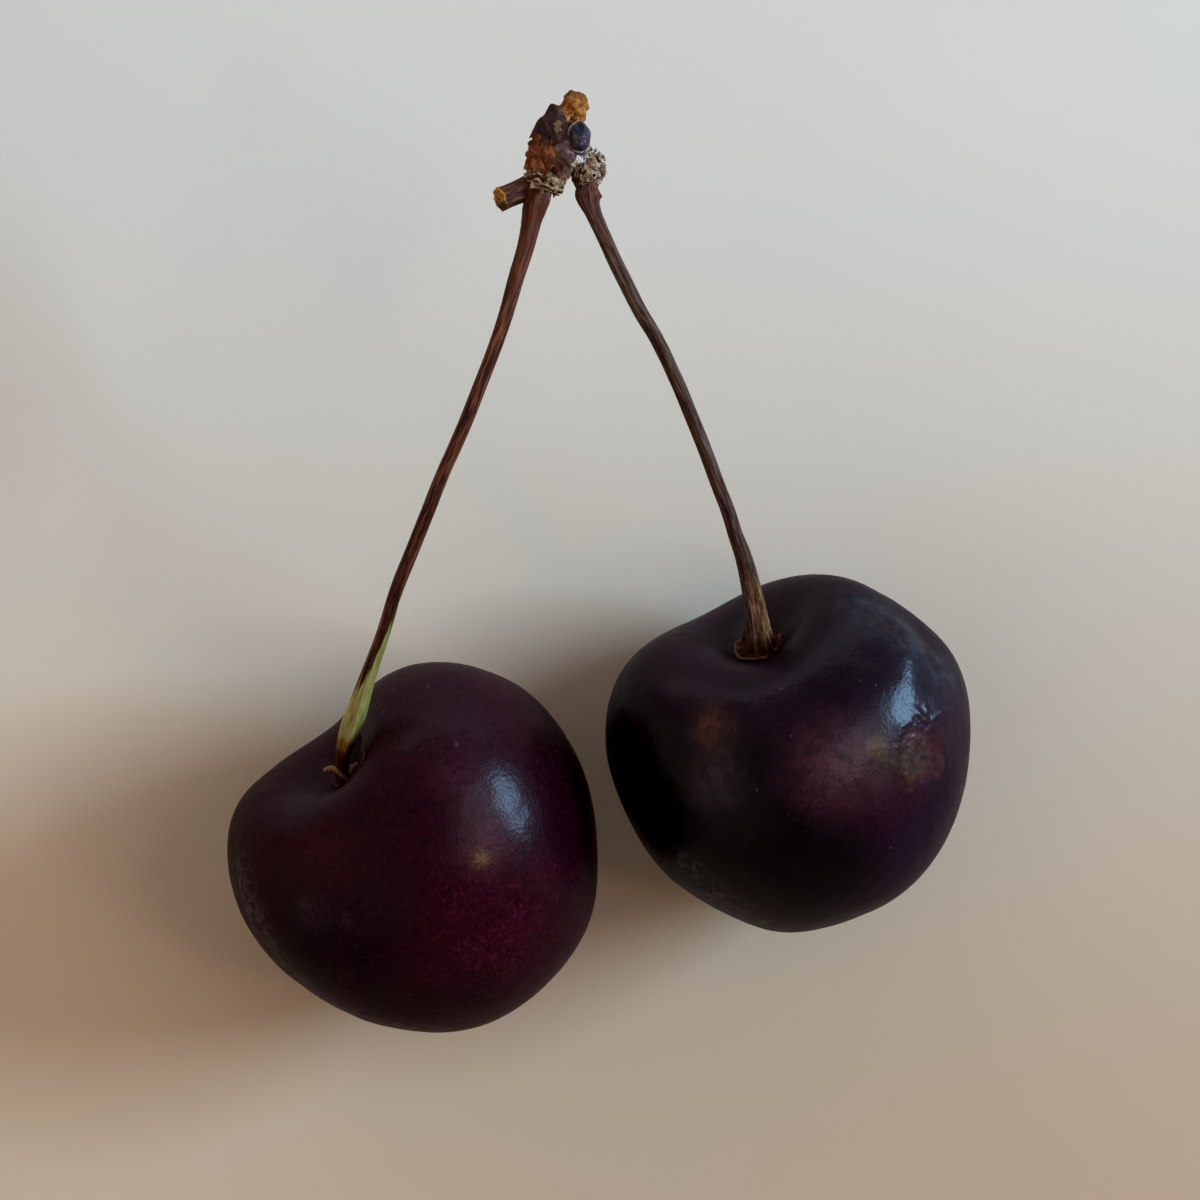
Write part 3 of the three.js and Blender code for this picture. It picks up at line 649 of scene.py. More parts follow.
def petal(base, out, up, length, width, thick=0.07, curl=0.25, cup=0.2, fold=0.2, seed=0, nu=13, nv=11):
    """A crumpled papery scale, rounded and torn at its end; a closed thin shell."""
    out, up = unit(out), unit(up)
    side = unit(np.cross(out, up))
    up = np.cross(side, out)
    u = np.linspace(0, 1, nu)[:, None]
    v = np.linspace(-1, 1, nv)[None, :]
    q = np.stack([u * 2.6 + 0 * v, v * 1.5 + 0 * u, 0 * u * v + seed * 1.37], -1)
    w = 0.5 * width * (0.50 + 0.62 * np.sin(np.pi * np.clip(u * 0.80 + 0.08, 0, 1)))
    torn = 1 + 0.30 * fbm(q * 2.3, 3, seed)
    x = length * u * (1 - 0.30 * v * v * u) * (1 + (torn - 1) * smooth((u - 0.55) / 0.45))
    y = w * v * (1 + 0.5 * (torn - 1))
    h = curl * length * u ** 2 + cup * width * v * v * (0.3 + 0.7 * u) + fold * width * fbm(q, 3, seed + 3) * (0.35 + 0.65 * u)
    t = thick * (1.15 - 0.60 * u) * (1.0 - 0.45 * v * v)
    mid = np.asarray(base) + x[..., None] * out + y[..., None] * side + h[..., None] * up
    A, B = mid + 0.5 * t[..., None] * up, mid - 0.5 * t[..., None] * up
    V = np.concatenate([A.reshape(-1, 3), B.reshape(-1, 3)])
    n = nu * nv
    F = ring_faces(nu, nv, 0, wrap=False) + [tuple(reversed(f)) for f in ring_faces(nu, nv, n, wrap=False)]
    rim = [i * nv for i in range(nu)] + [(nu - 1) * nv + j for j in range(1, nv)] + [i * nv + nv - 1 for i in range(nu - 2, -1, -1)] + [j for j in range(nv - 2, 0, -1)]
    for a, b in zip(rim, rim[1:] + rim[:1]):
        F.append((a, b, b + n, a + n))
    e = np.maximum(0.75 * np.abs(v) ** 3 * np.ones_like(u), smooth((u - 0.15) / 0.75) * np.ones_like(v)).ravel()
    return V, F, np.concatenate([e, e])


# right: a dry flared ring that the stalk's fibres run out into
stalk_l, len_l = build_stalk("stalk_left_skin", STALK_LEFT, 620, 72, shape_left, 0.05, 3)
stalk_r, len_r = build_stalk("stalk_right_skin", STALK_RIGHT, 560, 80, shape_right, 0.06, 7)


def build_calyx_right():
    pit, x, y, z = cavity("right")
    body = Body()
    cols, prof = 120, []
    # profile from the stalk's foot outwards over the rim and back underneath: (radius, height above the pit)
    prof = [(0.78, 2.25), (0.97, 1.70), (1.16, 1.26), (1.40, 0.96), (1.64, 0.80), (1.84, 0.74), (1.96, 0.74), (2.02, 0.70),
            (2.00, 0.62), (1.80, 0.58), (1.60, 0.48), (1.30, 0.36), (0.90, 0.26), (0.45, 0.22)]
    s = np.concatenate([[0], np.cumsum(np.hypot(*np.diff(np.array(prof), axis=0).T))])
    S = np.linspace(0, s[-1], 46)
    pr = Spline(s, np.array(prof), natural=True)(S)
    a = np.arange(cols) * 2 * np.pi / cols
    RR, AA = pr[:, :1] + 0 * a, a + 0 * pr[:, :1]
    HH = pr[:, 1:] + 0 * a
    k = RR / 1.9
    lobes = 1 + k ** 2 * (0.055 * np.sin(3 * AA + 0.4) + 0.05 * np.sin(5 * AA + 2.0) + 0.07 * fbm(np.stack([np.cos(AA) * 2.2, np.sin(AA) * 2.2, HH], -1), 3, 71))
    split = np.exp(-((AA - 4.95) / 0.07) ** 2) * smooth((k - 0.55) / 0.3)   # a small split in the front edge
    lobes = lobes - 0.16 * split
    lift = k ** 3 * (0.16 * np.sin(2 * AA - 0.7) + 0.10 * np.sin(3 * AA + 1.1) + 0.10 * fbm(np.stack([np.cos(AA) * 3, np.sin(AA) * 3, HH * 0], -1), 3, 73)) - 0.18 * split - 0.26 * k ** 2 * smooth(-np.sin(AA) * 1.2)
    fib = 0.034 * np.sin(34 * AA + 3 * np.sin(3 * AA)) * smooth((HH - 0.55) / 0.2) * (1 - k * 0.3)
    RR = RR * (1 + 0.045 * smooth((HH - 0.9) / 0.4) * (np.sin(15 * AA + 2 * np.sin(2 * AA)) + 0.6 * np.sin(23 * AA + 1.0)))
    P = pit + (RR * lobes)[..., None] * (np.cos(AA)[..., None] * x + np.sin(AA)[..., None] * y) + (HH + lift + fib)[..., None] * z
    P = P + (0.02 * fbm(P * 3.2, 3, 75))[..., None] * z
    V, F = closed_rings(P)
    parts = [(V, F, dict(edge=np.concatenate([smooth((k - 0.72) / 0.28).ravel(), [0, 0]]), rnd=0.3))]
    rng = np.random.RandomState(4)
    for i in range(30):
        q = i * 2 * np.pi / 30 + rng.uniform(-0.1, 0.1)
        r = rng.uniform(1.15, 1.80) * (1 + 0.055 * math.sin(3 * q + 0.4) + 0.05 * math.sin(5 * q + 2.0))
        c = pit + r * (math.cos(q) * x + math.sin(q) * y) + (0.76 + 0.5 * max(0.0, 1.45 - r) + rng.uniform(-0.12, 0.10) + 0.14 * math.sin(2 * q - 0.7) - 0.2 * max(0.0, -math.sin(q))) * z
        w = rng.uniform(0.13, 0.25)
        V, F = lump(c, (w, w * rng.uniform(0.6, 0.9), w * 0.7), 14, 18, 0.4, 1.8, 40 + i, axis=z)
        parts.append((V, F, dict(edge=rng.uniform(0.1, 0.8), rnd=rng.uniform(0, 1))))
    # a thicker rolled lobe on the right and a flattened lip on the left
    V, F = lump(at(782, 646, 16.7), (0.36, 0.30, 0.24), 22, 30, 0.22, 1.8, 5, axis=z)
    parts.append((V, F, dict(edge=0.25, rnd=0.55)))
    W, F, A = fuse(parts, 0.048, ((2.0, 0.085), (4.8, 0.045)), 79)
    body.add(W, F, **A)
    V, F, e = petal(at(752, 650, 16.35), at(738, 650, 16.35) - at(752, 648, 16.3), z, 1.0, 0.62, 0.12, 0.06, 0.12, 0.15, 15)
    body.add(V, F, edge=0.6 * e, rnd=0.2)
    for i in range(11):      # torn edges standing up round it
        q = i * 2 * np.pi / 11 + 0.2
        c = pit + 1.36 * (math.cos(q) * x + math.sin(q) * y) + (0.84 - 0.18 * max(0.0, -math.sin(q))) * z
        V, F, e = petal(c, (math.cos(q) * x + math.sin(q) * y) + 0.15 * z, z, rng.uniform(0.42, 0.62), rng.uniform(0.38, 0.60), 0.08, rng.uniform(-0.1, 0.2), rng.uniform(-0.2, 0.2), 0.22, 60 + i, 11, 8)
        body.add(V, F, edge=0.7 * e, rnd=rng.uniform(0, 1))
    return body.make("calyx_right_skin")


def build_calyx_left():
    pit, x, y, z = cavity("left")
    body = Body()
    cols = 80
    prof = [(0.30, 0.62), (0.50, 0.48), (0.72, 0.40), (0.92, 0.42), (1.02, 0.44), (1.02, 0.34), (0.85, 0.26), (0.5, 0.18), (0.2, 0.14)]
    s = np.concatenate([[0], np.cumsum(np.hypot(*np.diff(np.array(prof), axis=0).T))])
    S = np.linspace(0, s[-1], 32)
    pr = Spline(s, np.array(prof), natural=True)(S)
    a = np.arange(cols) * 2 * np.pi / cols
    RR, AA, HH = pr[:, :1] + 0 * a, a + 0 * pr[:, :1], pr[:, 1:] + 0 * a
    k = RR / 1.02
    lobes = 1 + k ** 2 * (0.10 * np.sin(3 * AA + 1.4) + 0.08 * np.sin(5 * AA + 0.3) + 0.12 * fbm(np.stack([np.cos(AA) * 2.4, np.sin(AA) * 2.4, HH], -1), 3, 81))
    lift = k ** 2 * (0.10 * np.sin(2 * AA + 0.5) + 0.10 * fbm(np.stack([np.cos(AA) * 3, np.sin(AA) * 3, HH * 0], -1), 3, 83))
    P = pit + (RR * lobes)[..., None] * (np.cos(AA)[..., None] * x + np.sin(AA)[..., None] * y) + (HH + lift)[..., None] * z
    V, F = closed_rings(P)
    body.add(V, F, edge=np.concatenate([smooth((k - 0.7) / 0.3).ravel() * 0.5, [0, 0]]), rnd=0.1)
    zc = 16.55
    # tan curl to the left, then down to the front
    V, F = wire([at(324.3, 771.0, zc + 0.25), at(328.8, 768.4, zc + 0.45), at(334.5, 769.2, zc + 0.70), at(339.8, 773.2, zc + 0.80), at(344.6, 777.6, zc + 0.66), at(349.8, 781.5, zc + 0.22)],
                [0.14, 0.185, 0.175, 0.165, 0.16, 0.11], 14, 60, 0.32, 5)
    body.add(V, F, edge=0.85, rnd=0.8)
    # tan curl on the right, hooked
    V, F = wire([at(360.8, 763.4, zc + 0.42), at(356.0, 765.0, zc + 0.50), at(352.0, 768.0, zc + 0.46), at(351.2, 771.0, zc + 0.36), at(353.0, 774.3, zc + 0.10)],
                [0.13, 0.185, 0.19, 0.16, 0.10], 14, 50, 0.32, 7)
    body.add(V, F, edge=0.95, rnd=0.9)
    # thin strand leaning on the right wall
    V, F = wire([spot(PL, u, v) + np.array([0, 0, h]) for u, v, h in ((361.8, 744.0, 0.16), (363.2, 749.5, 0.20), (364.2, 756.0, 0.20), (362.8, 761.0, 0.16), (359.5, 765.0, 0.12))],
                [0.05, 0.075, 0.085, 0.09, 0.06], 12, 44, 0.3, 9)
    body.add(V, F, edge=0.5, rnd=0.65)
    # short brown scales between them
    for i, (b, t, w) in enumerate((((344, 777), (339.5, 785.5), 0.42), ((347, 776), (346.5, 783.5), 0.40), ((350, 770), (357.0, 769.0), 0.34),
                                   ((338, 768), (331.0, 774.5), 0.34), ((340, 764), (337.5, 759.0), 0.30))):
        p0, p1 = at(b[0], b[1], zc - 0.10), at(t[0], t[1], zc - 0.22 + 0.05 * i)
        V, F, e = flake(p0, p1 - p0, z, np.linalg.norm(p1 - p0), w, 0.12, 0.10, 0.15, 21 + i, 10, 7)
        body.add(V, F, edge=0.35 * e, rnd=0.15 + 0.1 * i)
    return body.make("calyx_left_skin")


calyx_r = build_calyx_right()
calyx_l = build_calyx_left()

# ---- the woody spur -----------------------------------------------------------------
SPUR = [
    (-3.80, 29.05, 26.55, 1.05), (-3.79, 29.45, 26.62, 1.20), (-3.74, 30.05, 26.76, 1.30), (-3.70, 30.50, 26.82, 1.34), (-3.52, 31.21, 26.90, 1.30),
    (-3.38, 31.90, 27.00, 1.26), (-2.98, 32.60, 27.08, 1.20), (-2.44, 33.15, 27.12, 0.98), (-2.02, 33.60, 27.16, 0.78),
    (-1.84, 34.05, 27.20, 0.72), (-1.78, 34.45, 27.24, 0.62), (-1.76, 34.75, 27.25, 0.48), (-1.76, 34.88, 27.25, 0.30),
]


def shape_spur(S, A):
    bark = 0.07 * around_noise(S, A, 1.5, 0.9, 101) + 0.055 * around_noise(S, A, 3.4, 1.8, 103)
    rings = 0.035 * np.sin(7.5 * S + 1.4 * np.sin(A + 0.6)) * (S < 3.2)
    torn = smooth((S - 3.9) / 0.4)
    fibres = torn * (0.10 * np.sin(9 * A + 1.0) + 0.08 * np.sin(14 * A + 2.5) + 0.10 * around_noise(S, A, 3.2, 0.5, 107))
    return 1 + bark + rings + fibres


def px(points, z):
    return [at(u, v, z)[:2] for u, v in points]


def build_spur():
    P, flow, length = tube(SPUR, 110, 72, shape_spur, flatten=0.88)
    V, F = closed_rings(P)
    top = np.concatenate([flow[..., 2].ravel(), [0, length]])
    parts = [(V, F, dict(torn=smooth((top - 3.9) / 0.3), dark=0.0, tan=0.0, rnd=0.4))]
    # the torn end: a crumbling knob of lighter wood, higher on its left and right
    for i, (u, v, r, z) in enumerate(((573, 99.5, 0.60, 27.25), (569.0, 103.5, 0.42, 27.35), (579.5, 100, 0.54, 27.2), (583, 107.5, 0.42, 27.2), (570.5, 111, 0.50, 27.45), (577.5, 111, 0.62, 27.4),
                                      (574, 119, 0.55, 27.35), (580, 117, 0.42, 27.25), (566.5, 108, 0.32, 27.3), (570.6, 96.3, 0.30, 27.4), (578.6, 95.8, 0.30, 27.2), (572, 105, 0.62, 26.7),
                                      (578.5, 107, 0.60, 26.75), (575, 114, 0.6, 26.75), (581.5, 102.5, 0.34, 27.55), (574.5, 104.5, 0.44, 27.7), (567, 98.6, 0.20, 27.3), (564.6, 101.6, 0.15, 27.35))):
        V, F = lump(at(u, v, z), (r, r * 0.95, r * 0.9), 16, 22, 0.35, 1.7, 400 + i)
        parts.append((V, F, dict(torn=1.0, dark=0.0, tan=0.0, rnd=0.35 + 0.3 * ((0.37 * i) % 1.0))))
    # dark block of bark at the upper left, ending in a peeled sliver
    V, F, e = plate(px([(550.5, 103.8), (555.5, 105.0), (560.5, 107.8), (564.5, 114), (567.5, 122), (568, 132), (565, 140), (557, 146), (549, 143), (543, 137), (537.5, 131), (541.5, 122), (545.5, 112)], 28.0),
                    28.14, 26.75, 0.20, 8, 5, 0.08, 33, (0.10, 0.03))
    parts.append((V, F, dict(torn=0.0, dark=1.0, tan=0.0, rnd=0.2)))
    V, F, e = plate(px([(545, 118), (541.5, 125.5), (538.3, 132), (533.2, 136.2), (528.9, 138.3), (532.8, 131.2), (537.3, 123.8), (541.5, 116)], 27.8), 27.88, 27.50, 0.06, 5, 5, 0.03, 35, (0.12, 0.0))
    parts.append((V, F, dict(torn=0.0, dark=1.0, tan=0.0, rnd=0.6)))
    V, F, e = plate(px([(560, 108), (566, 113), (571, 121), (572, 131), (567, 139), (562, 130), (560, 118)], 27.9), 27.78, 26.9, 0.20, 6, 5, 0.10, 37)
    parts.append((V, F, dict(torn=0.0, dark=0.8, tan=0.0, rnd=0.5)))
    # a pale broken scar on it
    for i, (u, v, r) in enumerate(((555.2, 123.9, 0.18), (558.0, 122.8, 0.19), (560.2, 124.0, 0.14), (556.2, 126.6, 0.20), (556.8, 129.4, 0.17), (559.6, 129.0, 0.14), (558.6, 126.0, 0.15))):
        V, F = lump(at(u, v, 28.22), (r, r * 0.9, r * 0.9), 12, 16, 0.3, 1.8, 430 + i)
        parts.append((V, F, dict(torn=0.0, dark=0.0, tan=1.0, rnd=0.5)))
    # uneven swellings of the bark
    rng = np.random.RandomState(11)
    for i in range(26):
        a, y0 = rng.uniform(0, 2 * np.pi), rng.uniform(29.3, 33.0)
        j = int(np.argmin(np.abs(np.array(SPUR)[:, 1] - y0)))
        r = SPUR[j][3] * (1.0 - 0.12 * abs(math.sin(a)))
        c = np.array([SPUR[j][0] + 0.93 * r * math.cos(a), y0, SPUR[j][2] + 0.93 * r * math.sin(a)])
        V, F = lump(c, (rng.uniform(0.18, 0.36), rng.uniform(0.18, 0.34), rng.uniform(0.16, 0.26)), 14, 18, 0.35, 1.8, 450 + i)
        parts.append((V, F, dict(torn=0.0, dark=0.6 if (y0 > 32.2 and math.sin(a) < 0.3) else 0.0, tan=0.0, rnd=rng.uniform(0, 1))))
    W, F, A = fuse(parts, 0.052, ((1.7, 0.075), (4.6, 0.045), (11.0, 0.012)), 109)
    # the dark block keeps its outline; the rest of the bark stays rust brown
    p = to_pixel(W) + 2.2 * np.stack([fbm(W * 1.8, 3, 61), fbm(W * 1.8, 3, 62)], -1)
    block = np.array([(548.5, 102.0), (556.5, 103.0), (562.0, 107.5), (568.5, 120), (573, 128), (571, 141), (563, 146), (553, 147), (545, 140), (538.0, 133), (526.0, 141), (534.0, 128), (541.0, 117)])
    inside = np.zeros(len(W), bool)
    for (x0, y0), (x1, y1) in zip(block, np.roll(block, -1, 0)):
        cross = (y0 > p[:, 1]) != (y1 > p[:, 1])
        inside ^= cross & (p[:, 0] < (x1 - x0) * (p[:, 1] - y0) / (y1 - y0 + 1e-9) + x0)
    side = W[:, 2] + 0.60 * fbm(W * 1.3, 3, 63)
    fade = smooth((side - 26.25) / 0.55)
    A["dark"] = np.where(A["torn"] < 0.6, fade * inside + (1.0 - fade) * A["dark"], (1.0 - fade) * A["dark"])
    grain = A["torn"][:, None] * 0.02 * fbm(W * 7.0, 2, 77)[:, None] * unit(W - np.array([-2.0, 33.6, 27.1]))
    body = Body().add(W + grain, F, edge=0.0, **A)
    V, F = wire([at(541.5, 122, 27.55), at(537.5, 127.5, 27.80), at(533.5, 132.6, 27.86), at(529.2, 138.2, 27.80)], [0.30, 0.22, 0.13, 0.025], 14, 40, 0.3, 36)
    body.add(V, F, torn=0.0, dark=1.0, tan=0.0, edge=0.5, rnd=0.5)
    # bark scales: down the left side and all round, some lifting
    for i, (u, v, z, du, dv, ln, wd) in enumerate(((533.5, 147, 27.2, -0.9, 0.35, 0.42, 0.42), (531.5, 153, 27.1, -1.0, 0.15, 0.44, 0.40), (531.0, 160, 27.1, -1.0, 0.5, 0.46, 0.42), (529.5, 166, 27.1, -1.0, 0.3, 0.42, 0.44),
                                                   (541, 150, 27.9, -0.3, 1.0, 0.8, 0.7), (549, 156, 28.05, 0.1, 1.0, 0.9, 0.8), (538, 160, 27.8, -0.2, 1.0, 0.8, 0.7), (556, 164, 27.9, 0.4, 1.0, 0.9, 0.7), (546, 168, 27.8, 0.1, 1.0, 0.8, 0.8))):
        out = np.array([du, -dv, 0.0])
        V, F, e = petal(at(u, v, z), out, (0.1 * du, 0.0, 1.0), ln, wd, 0.09, -0.05, -0.15, 0.16, 300 + i)
        body.add(V, F, torn=0.0, dark=0.0, tan=0.0, edge=e, rnd=(0.29 * i) % 1.0)
    for i in range(40):
        a = rng.uniform(0, 2 * np.pi)
        y0 = rng.uniform(29.4, 33.2)
        j = int(np.argmin(np.abs(np.array(SPUR)[:, 1] - y0)))
        n = np.array([math.cos(a), 0.0, math.sin(a)])
        r = SPUR[j][3] * (1.0 - 0.12 * abs(math.sin(a)))
        base = np.array([SPUR[j][0], y0, SPUR[j][2]]) + n * r * 0.98
        down = np.array([rng.uniform(-0.35, 0.35), -1.0 if rng.uniform() < 0.75 else 0.8, 0.0]) + 0.18 * n
        V, F, e = petal(base, down, n, rng.uniform(0.40, 0.80), rng.uniform(0.35, 0.75), 0.08, rng.uniform(-0.12, 0.12), -rng.uniform(0.05, 0.25), 0.16, 330 + i, 10, 8)
        upper = y0 > 31.7 and (n[2] > 0.1 or n[0] < -0.3)
        body.add(V, F, torn=0.0, dark=0.9 if upper else 0.0, tan=0.0, edge=e, rnd=rng.uniform(0, 1))
    return body.make("spur_wood_skin")


BUD = at(580.0, 136.5, 27.95)


def build_bud():
    # a plump closed bud, its tip sunk a little above the middle
    th, ph = np.linspace(0.05, math.pi - 0.05, 54), np.arange(76) * 2 * np.pi / 76
    T, Ph = np.meshgrid(th, ph, indexing="ij")
    n = np.stack([np.sin(T) * np.cos(Ph), np.sin(T) * np.sin(Ph), np.cos(T)], -1)
    k = 1 + 0.06 * fbm(n * 1.5, 2, 121) + 0.035 * np.sin(5 * Ph + 3.0 * np.cos(T)) * np.sin(T)
    P = BUD + n * np.array([0.73, 1.03, 0.78]) * k[..., None]
    tip = BUD + np.array([-0.03, 0.42, 0.70])
    d = np.linalg.norm((P - tip)[..., :2], axis=-1)
    P[..., 2] -= 0.15 * np.exp(-(d / 0.30) ** 2) * (n[..., 2] > 0)
    for r0, w0, h0 in ((0.50, 0.10, 0.06), (0.82, 0.10, -0.05), (1.05, 0.10, 0.05)):       # overlapping scale edges
        rr = d * (1 + 0.16 * np.sin(2 * np.arctan2(P[..., 1] - tip[1], P[..., 0] - tip[0]) + r0 * 9))
        P[..., 2] += h0 * np.exp(-((rr - r0) / w0) ** 2) * smooth(n[..., 2] * 3)
    V, F = closed_rings(P)
    parts = [(V, F, dict(rnd=0.0))]
    for (a0, a1, rx, ry, hh, w, tone, sd) in ((112, 288, 0.80, 1.10, 0.02, 0.105, 1.0, 1), (150, 262, 0.88, 1.14, -0.22, 0.12, 0.75, 2), (286, 338, 0.76, 1.06, -0.10, 0.09, 0.8, 3), (96, 134, 0.72, 1.06, 0.10, 0.10, 0.7, 4)):
        t = np.radians(np.linspace(a0, a1, 18))
        pts = [BUD + np.array([(rx + 0.03 * math.sin(5 * q)) * math.cos(q), ry * math.sin(q), hh + 0.07 * math.sin(3 * q)]) for q in t]
        V, F = wire(pts, [w * (0.35 + 0.75 * math.sin(math.pi * i / 17)) for i in range(18)], 12, 70, 0.6, 130 + sd)
        parts.append((V, F, dict(rnd=tone)))
    W, F, A = fuse(parts, 0.036, ((3.0, 0.030), (8.0, 0.014)), 125)
    return Body().add(W, F, edge=0.0, **A).make("spur_bud_skin")


def build_bract():
    parts = []
    V, F, e = plate(px([(557.5, 137.5), (563, 141), (567.5, 147), (573, 151.5), (579.5, 155.5), (582, 159.5), (578.5, 163), (571.5, 166), (565.0, 162.5), (558.5, 156), (553.5, 149.5), (552.5, 142)], 28.3),
                    28.16, 27.2, 0.16, 9, 7, 0.06, 45, (0.20, -0.10), 0.06)
    parts.append((V, F, dict(rnd=0.3)))
    V, F, e = plate(px([(561, 126), (566, 124), (569.5, 131), (569, 141), (572, 149), (567.5, 150), (561.5, 143), (558.5, 134)], 28.2), 28.02, 27.2, 0.12, 7, 6, 0.05, 47)
    parts.append((V, F, dict(rnd=0.2)))
    for i, (u, v, z, r) in enumerate(((577.5, 153.5, 27.50, 0.38), (581.5, 156.5, 27.40, 0.34), (585.0, 158.5, 27.25, 0.28))):
        V, F = lump(at(u, v, z), (r, r * 0.9, r * 0.7), 14, 18, 0.3, 1.8, 480 + i)
        parts.append((V, F, dict(rnd=0.45)))
    W, F, A = fuse(parts, 0.044, ((1.6, 0.05), (5.0, 0.025)), 143)
    t = ((W - at(560, 145, 28.3)) @ unit(at(579, 161, 28.3) - at(560, 145, 28.3)))
    low = (W[:, :2] - at(556, 152, 28.3)[:2]) @ unit(np.array([-0.62, -0.78]))
    pale = np.maximum(smooth((t - 1.30 + 0.18 * noise(W * 2.2, 7)) / 0.25), 0.80 * smooth((low - 0.10 + 0.12 * noise(W * 2.5, 8)) / 0.14) * smooth((t - 0.2) / 0.5))
    body = Body().add(W, F, edge=pale, **A)
    # pale curled scales at the fork, and red-brown ones hanging below
    for i, (b, t2, w, z0, tone, rn) in enumerate((((577, 156), (582.5, 163.0), 0.55, 28.05, 0.95, 0.2), ((582, 152), (588, 158.0), 0.50, 27.85, 0.9, 0.2), ((571, 159), (574.5, 166.5), 0.6, 28.0, 1.0, 0.2),
                                                  ((565, 158), (563.5, 172), 0.75, 27.85, 0.25, 0.7), ((560, 154), (556, 166), 0.7, 27.9, 0.2, 0.7), ((569, 162), (568.0, 178), 0.6, 27.6, 0.3, 0.8),
                                                  ((579.5, 156.5), (584.0, 166.0), 0.60, 27.65, 0.9, 0.25), ((574, 161), (580.5, 169.0), 0.60, 27.45, 0.75, 0.45), ((583.5, 155), (588.5, 162.5), 0.45, 27.55, 0.8, 0.35))):
        a0, a1 = at(b[0], b[1], z0), at(t2[0], t2[1], z0 - 0.10)
        V, F, e = petal(a0, a1 - a0, (0, 0, 1), np.linalg.norm(a1 - a0), w, 0.09, -0.05, -0.20, 0.15, 141 + i)
        body.add(V, F, edge=e * tone, rnd=rn)
    return body.make("spur_bract_skin")


def frill(centre, axis, radius, reach, thick, ruffle, seed, squash=(1.0, 1.0), cols=110):
    """A ruffled ring of papery tissue around an axis."""
    w = unit(axis)
    x = unit(np.cross([0, 0, 1.0], w))
    x = x * np.sign(x[0])
    y = unit(np.cross(w, x))
    y = y * np.sign(y[2] + 1e-9)
    a = np.arange(cols) * 2 * np.pi / cols
    m = 16
    b = np.arange(m) * 2 * np.pi / m
    AA, BB = np.meshgrid(a, b, indexing="ij")
    n3 = np.stack([np.cos(AA) * 2.6, np.sin(AA) * 2.6, 0 * AA + seed * 2.3], -1)
    rr = radius * (1 + 0.10 * fbm(n3, 2, seed)) + (reach * (1 + 0.35 * fbm(n3 * 1.9, 2, seed + 1))) * 0.5 * (np.cos(BB) + 1)
    hh = thick * 0.5 * np.sin(BB) * (1.0 - 0.55 * np.cos(BB)) + ruffle * fbm(n3 * 1.3 + 4, 3, seed + 2) * (0.5 + 0.5 * np.cos(BB))
    P = np.asarray(centre) + (rr * squash[0])[..., None] * np.cos(AA)[..., None] * x + (rr * squash[1])[..., None] * np.sin(AA)[..., None] * y + hh[..., None] * w
    F = []
    for i in range(cols):
        for j in range(m):
            F.append((i * m + j, i * m + (j + 1) % m, ((i + 1) % cols) * m + (j + 1) % m, ((i + 1) % cols) * m + j))
    e = smooth((np.cos(BB) - 0.1) / 0.7).ravel()
    return P.reshape(-1, 3), F, e


def build_scales_left():
    c0 = np.array([-3.86, 28.98, 26.52])
    ax = unit([0.20, 0.97, 0.06])
    # the core under the scales takes the darkest tone: painted shade in the gaps between them
    V, F = lump(c0, (1.22, 1.04, 0.66), 26, 44, 0.16, 2.0, 3, axis=ax)
    parts = [(V, F, dict(edge=0.0, rnd=-0.6))]
    tilt = unit([0.42, 0.90, 0.10])
    for i, (d, r, reach, th, ruf, axis) in enumerate(((-0.52, 0.92, 0.34, 0.22, 0.22, tilt), (-0.22, 1.00, 0.46, 0.24, 0.34, tilt), (0.12, 1.02, 0.42, 0.22, 0.34, ax), (0.46, 1.00, 0.38, 0.22, 0.34, ax), (0.74, 0.96, 0.34, 0.20, 0.28, ax))):
        V, F, e = frill(c0 + ax * d, axis, r, reach, th, ruf, 150 + 7 * i, (1.0, 0.88))
        parts.append((V, F, dict(edge=0.95 * e, rnd=(i * 0.37) % 1.0)))
    # a pale swollen shoulder over the stalk's right side, and a crumpled knot above it
    for i, (u, v, z, r, e0) in enumerate(((546.5, 194.0, 27.0, 0.30, 0.45), (547.4, 199.0, 26.8, 0.24, 0.30), (554.0, 180.0, 27.5, 0.28, 1.0), (559, 183, 27.3, 0.36, 0.7), (563, 176, 27.3, 0.38, 0.5), (556, 187, 27.2, 0.34, 0.8), (549, 176, 27.6, 0.3, 0.6))):
        V, F = lump(at(u, v, z), (r, r * 0.9, r), 16, 22, 0.4, 1.9, 170 + i)
        parts.append((V, F, dict(edge=e0, rnd=0.6)))
    W, F, A = fuse(parts, 0.055, ((1.9, 0.10), (4.6, 0.055), (11.0, 0.012)), 155)
    body = Body().add(W, F, **A)
    rng = np.random.RandomState(5)
    for i in range(58):
        a = rng.uniform(0, 2 * np.pi)
        if i < 20:      # more of them crumpled together on the right-hand upper side
            a = rng.uniform(-0.5, 1.4)
        n = np.array([math.cos(a), 0.0, 0.88 * math.sin(a)])
        d = rng.uniform(-0.62, 0.85) if i >= 20 else rng.uniform(-0.3, 0.95)
        base = c0 + ax * d + n * rng.uniform(1.08, 1.26)
        out = unit(n * rng.uniform(0.10, 0.55) + ax * rng.uniform(-0.9, 0.5) + np.cross(n, ax) * rng.uniform(-0.9, 0.9))
        V, F, e = petal(base - out * 0.12, out, n, rng.uniform(0.40, 0.74), rng.uniform(0.36, 0.66), 0.075, rng.uniform(-0.1, 0.35), rng.uniform(-0.3, 0.3), 0.26, 400 + i, 11, 9)
        body.add(V, F, edge=e * rng.uniform(0.6, 1.0), rnd=rng.uniform(0, 1))
    return body.make("bud_scales_left_skin")


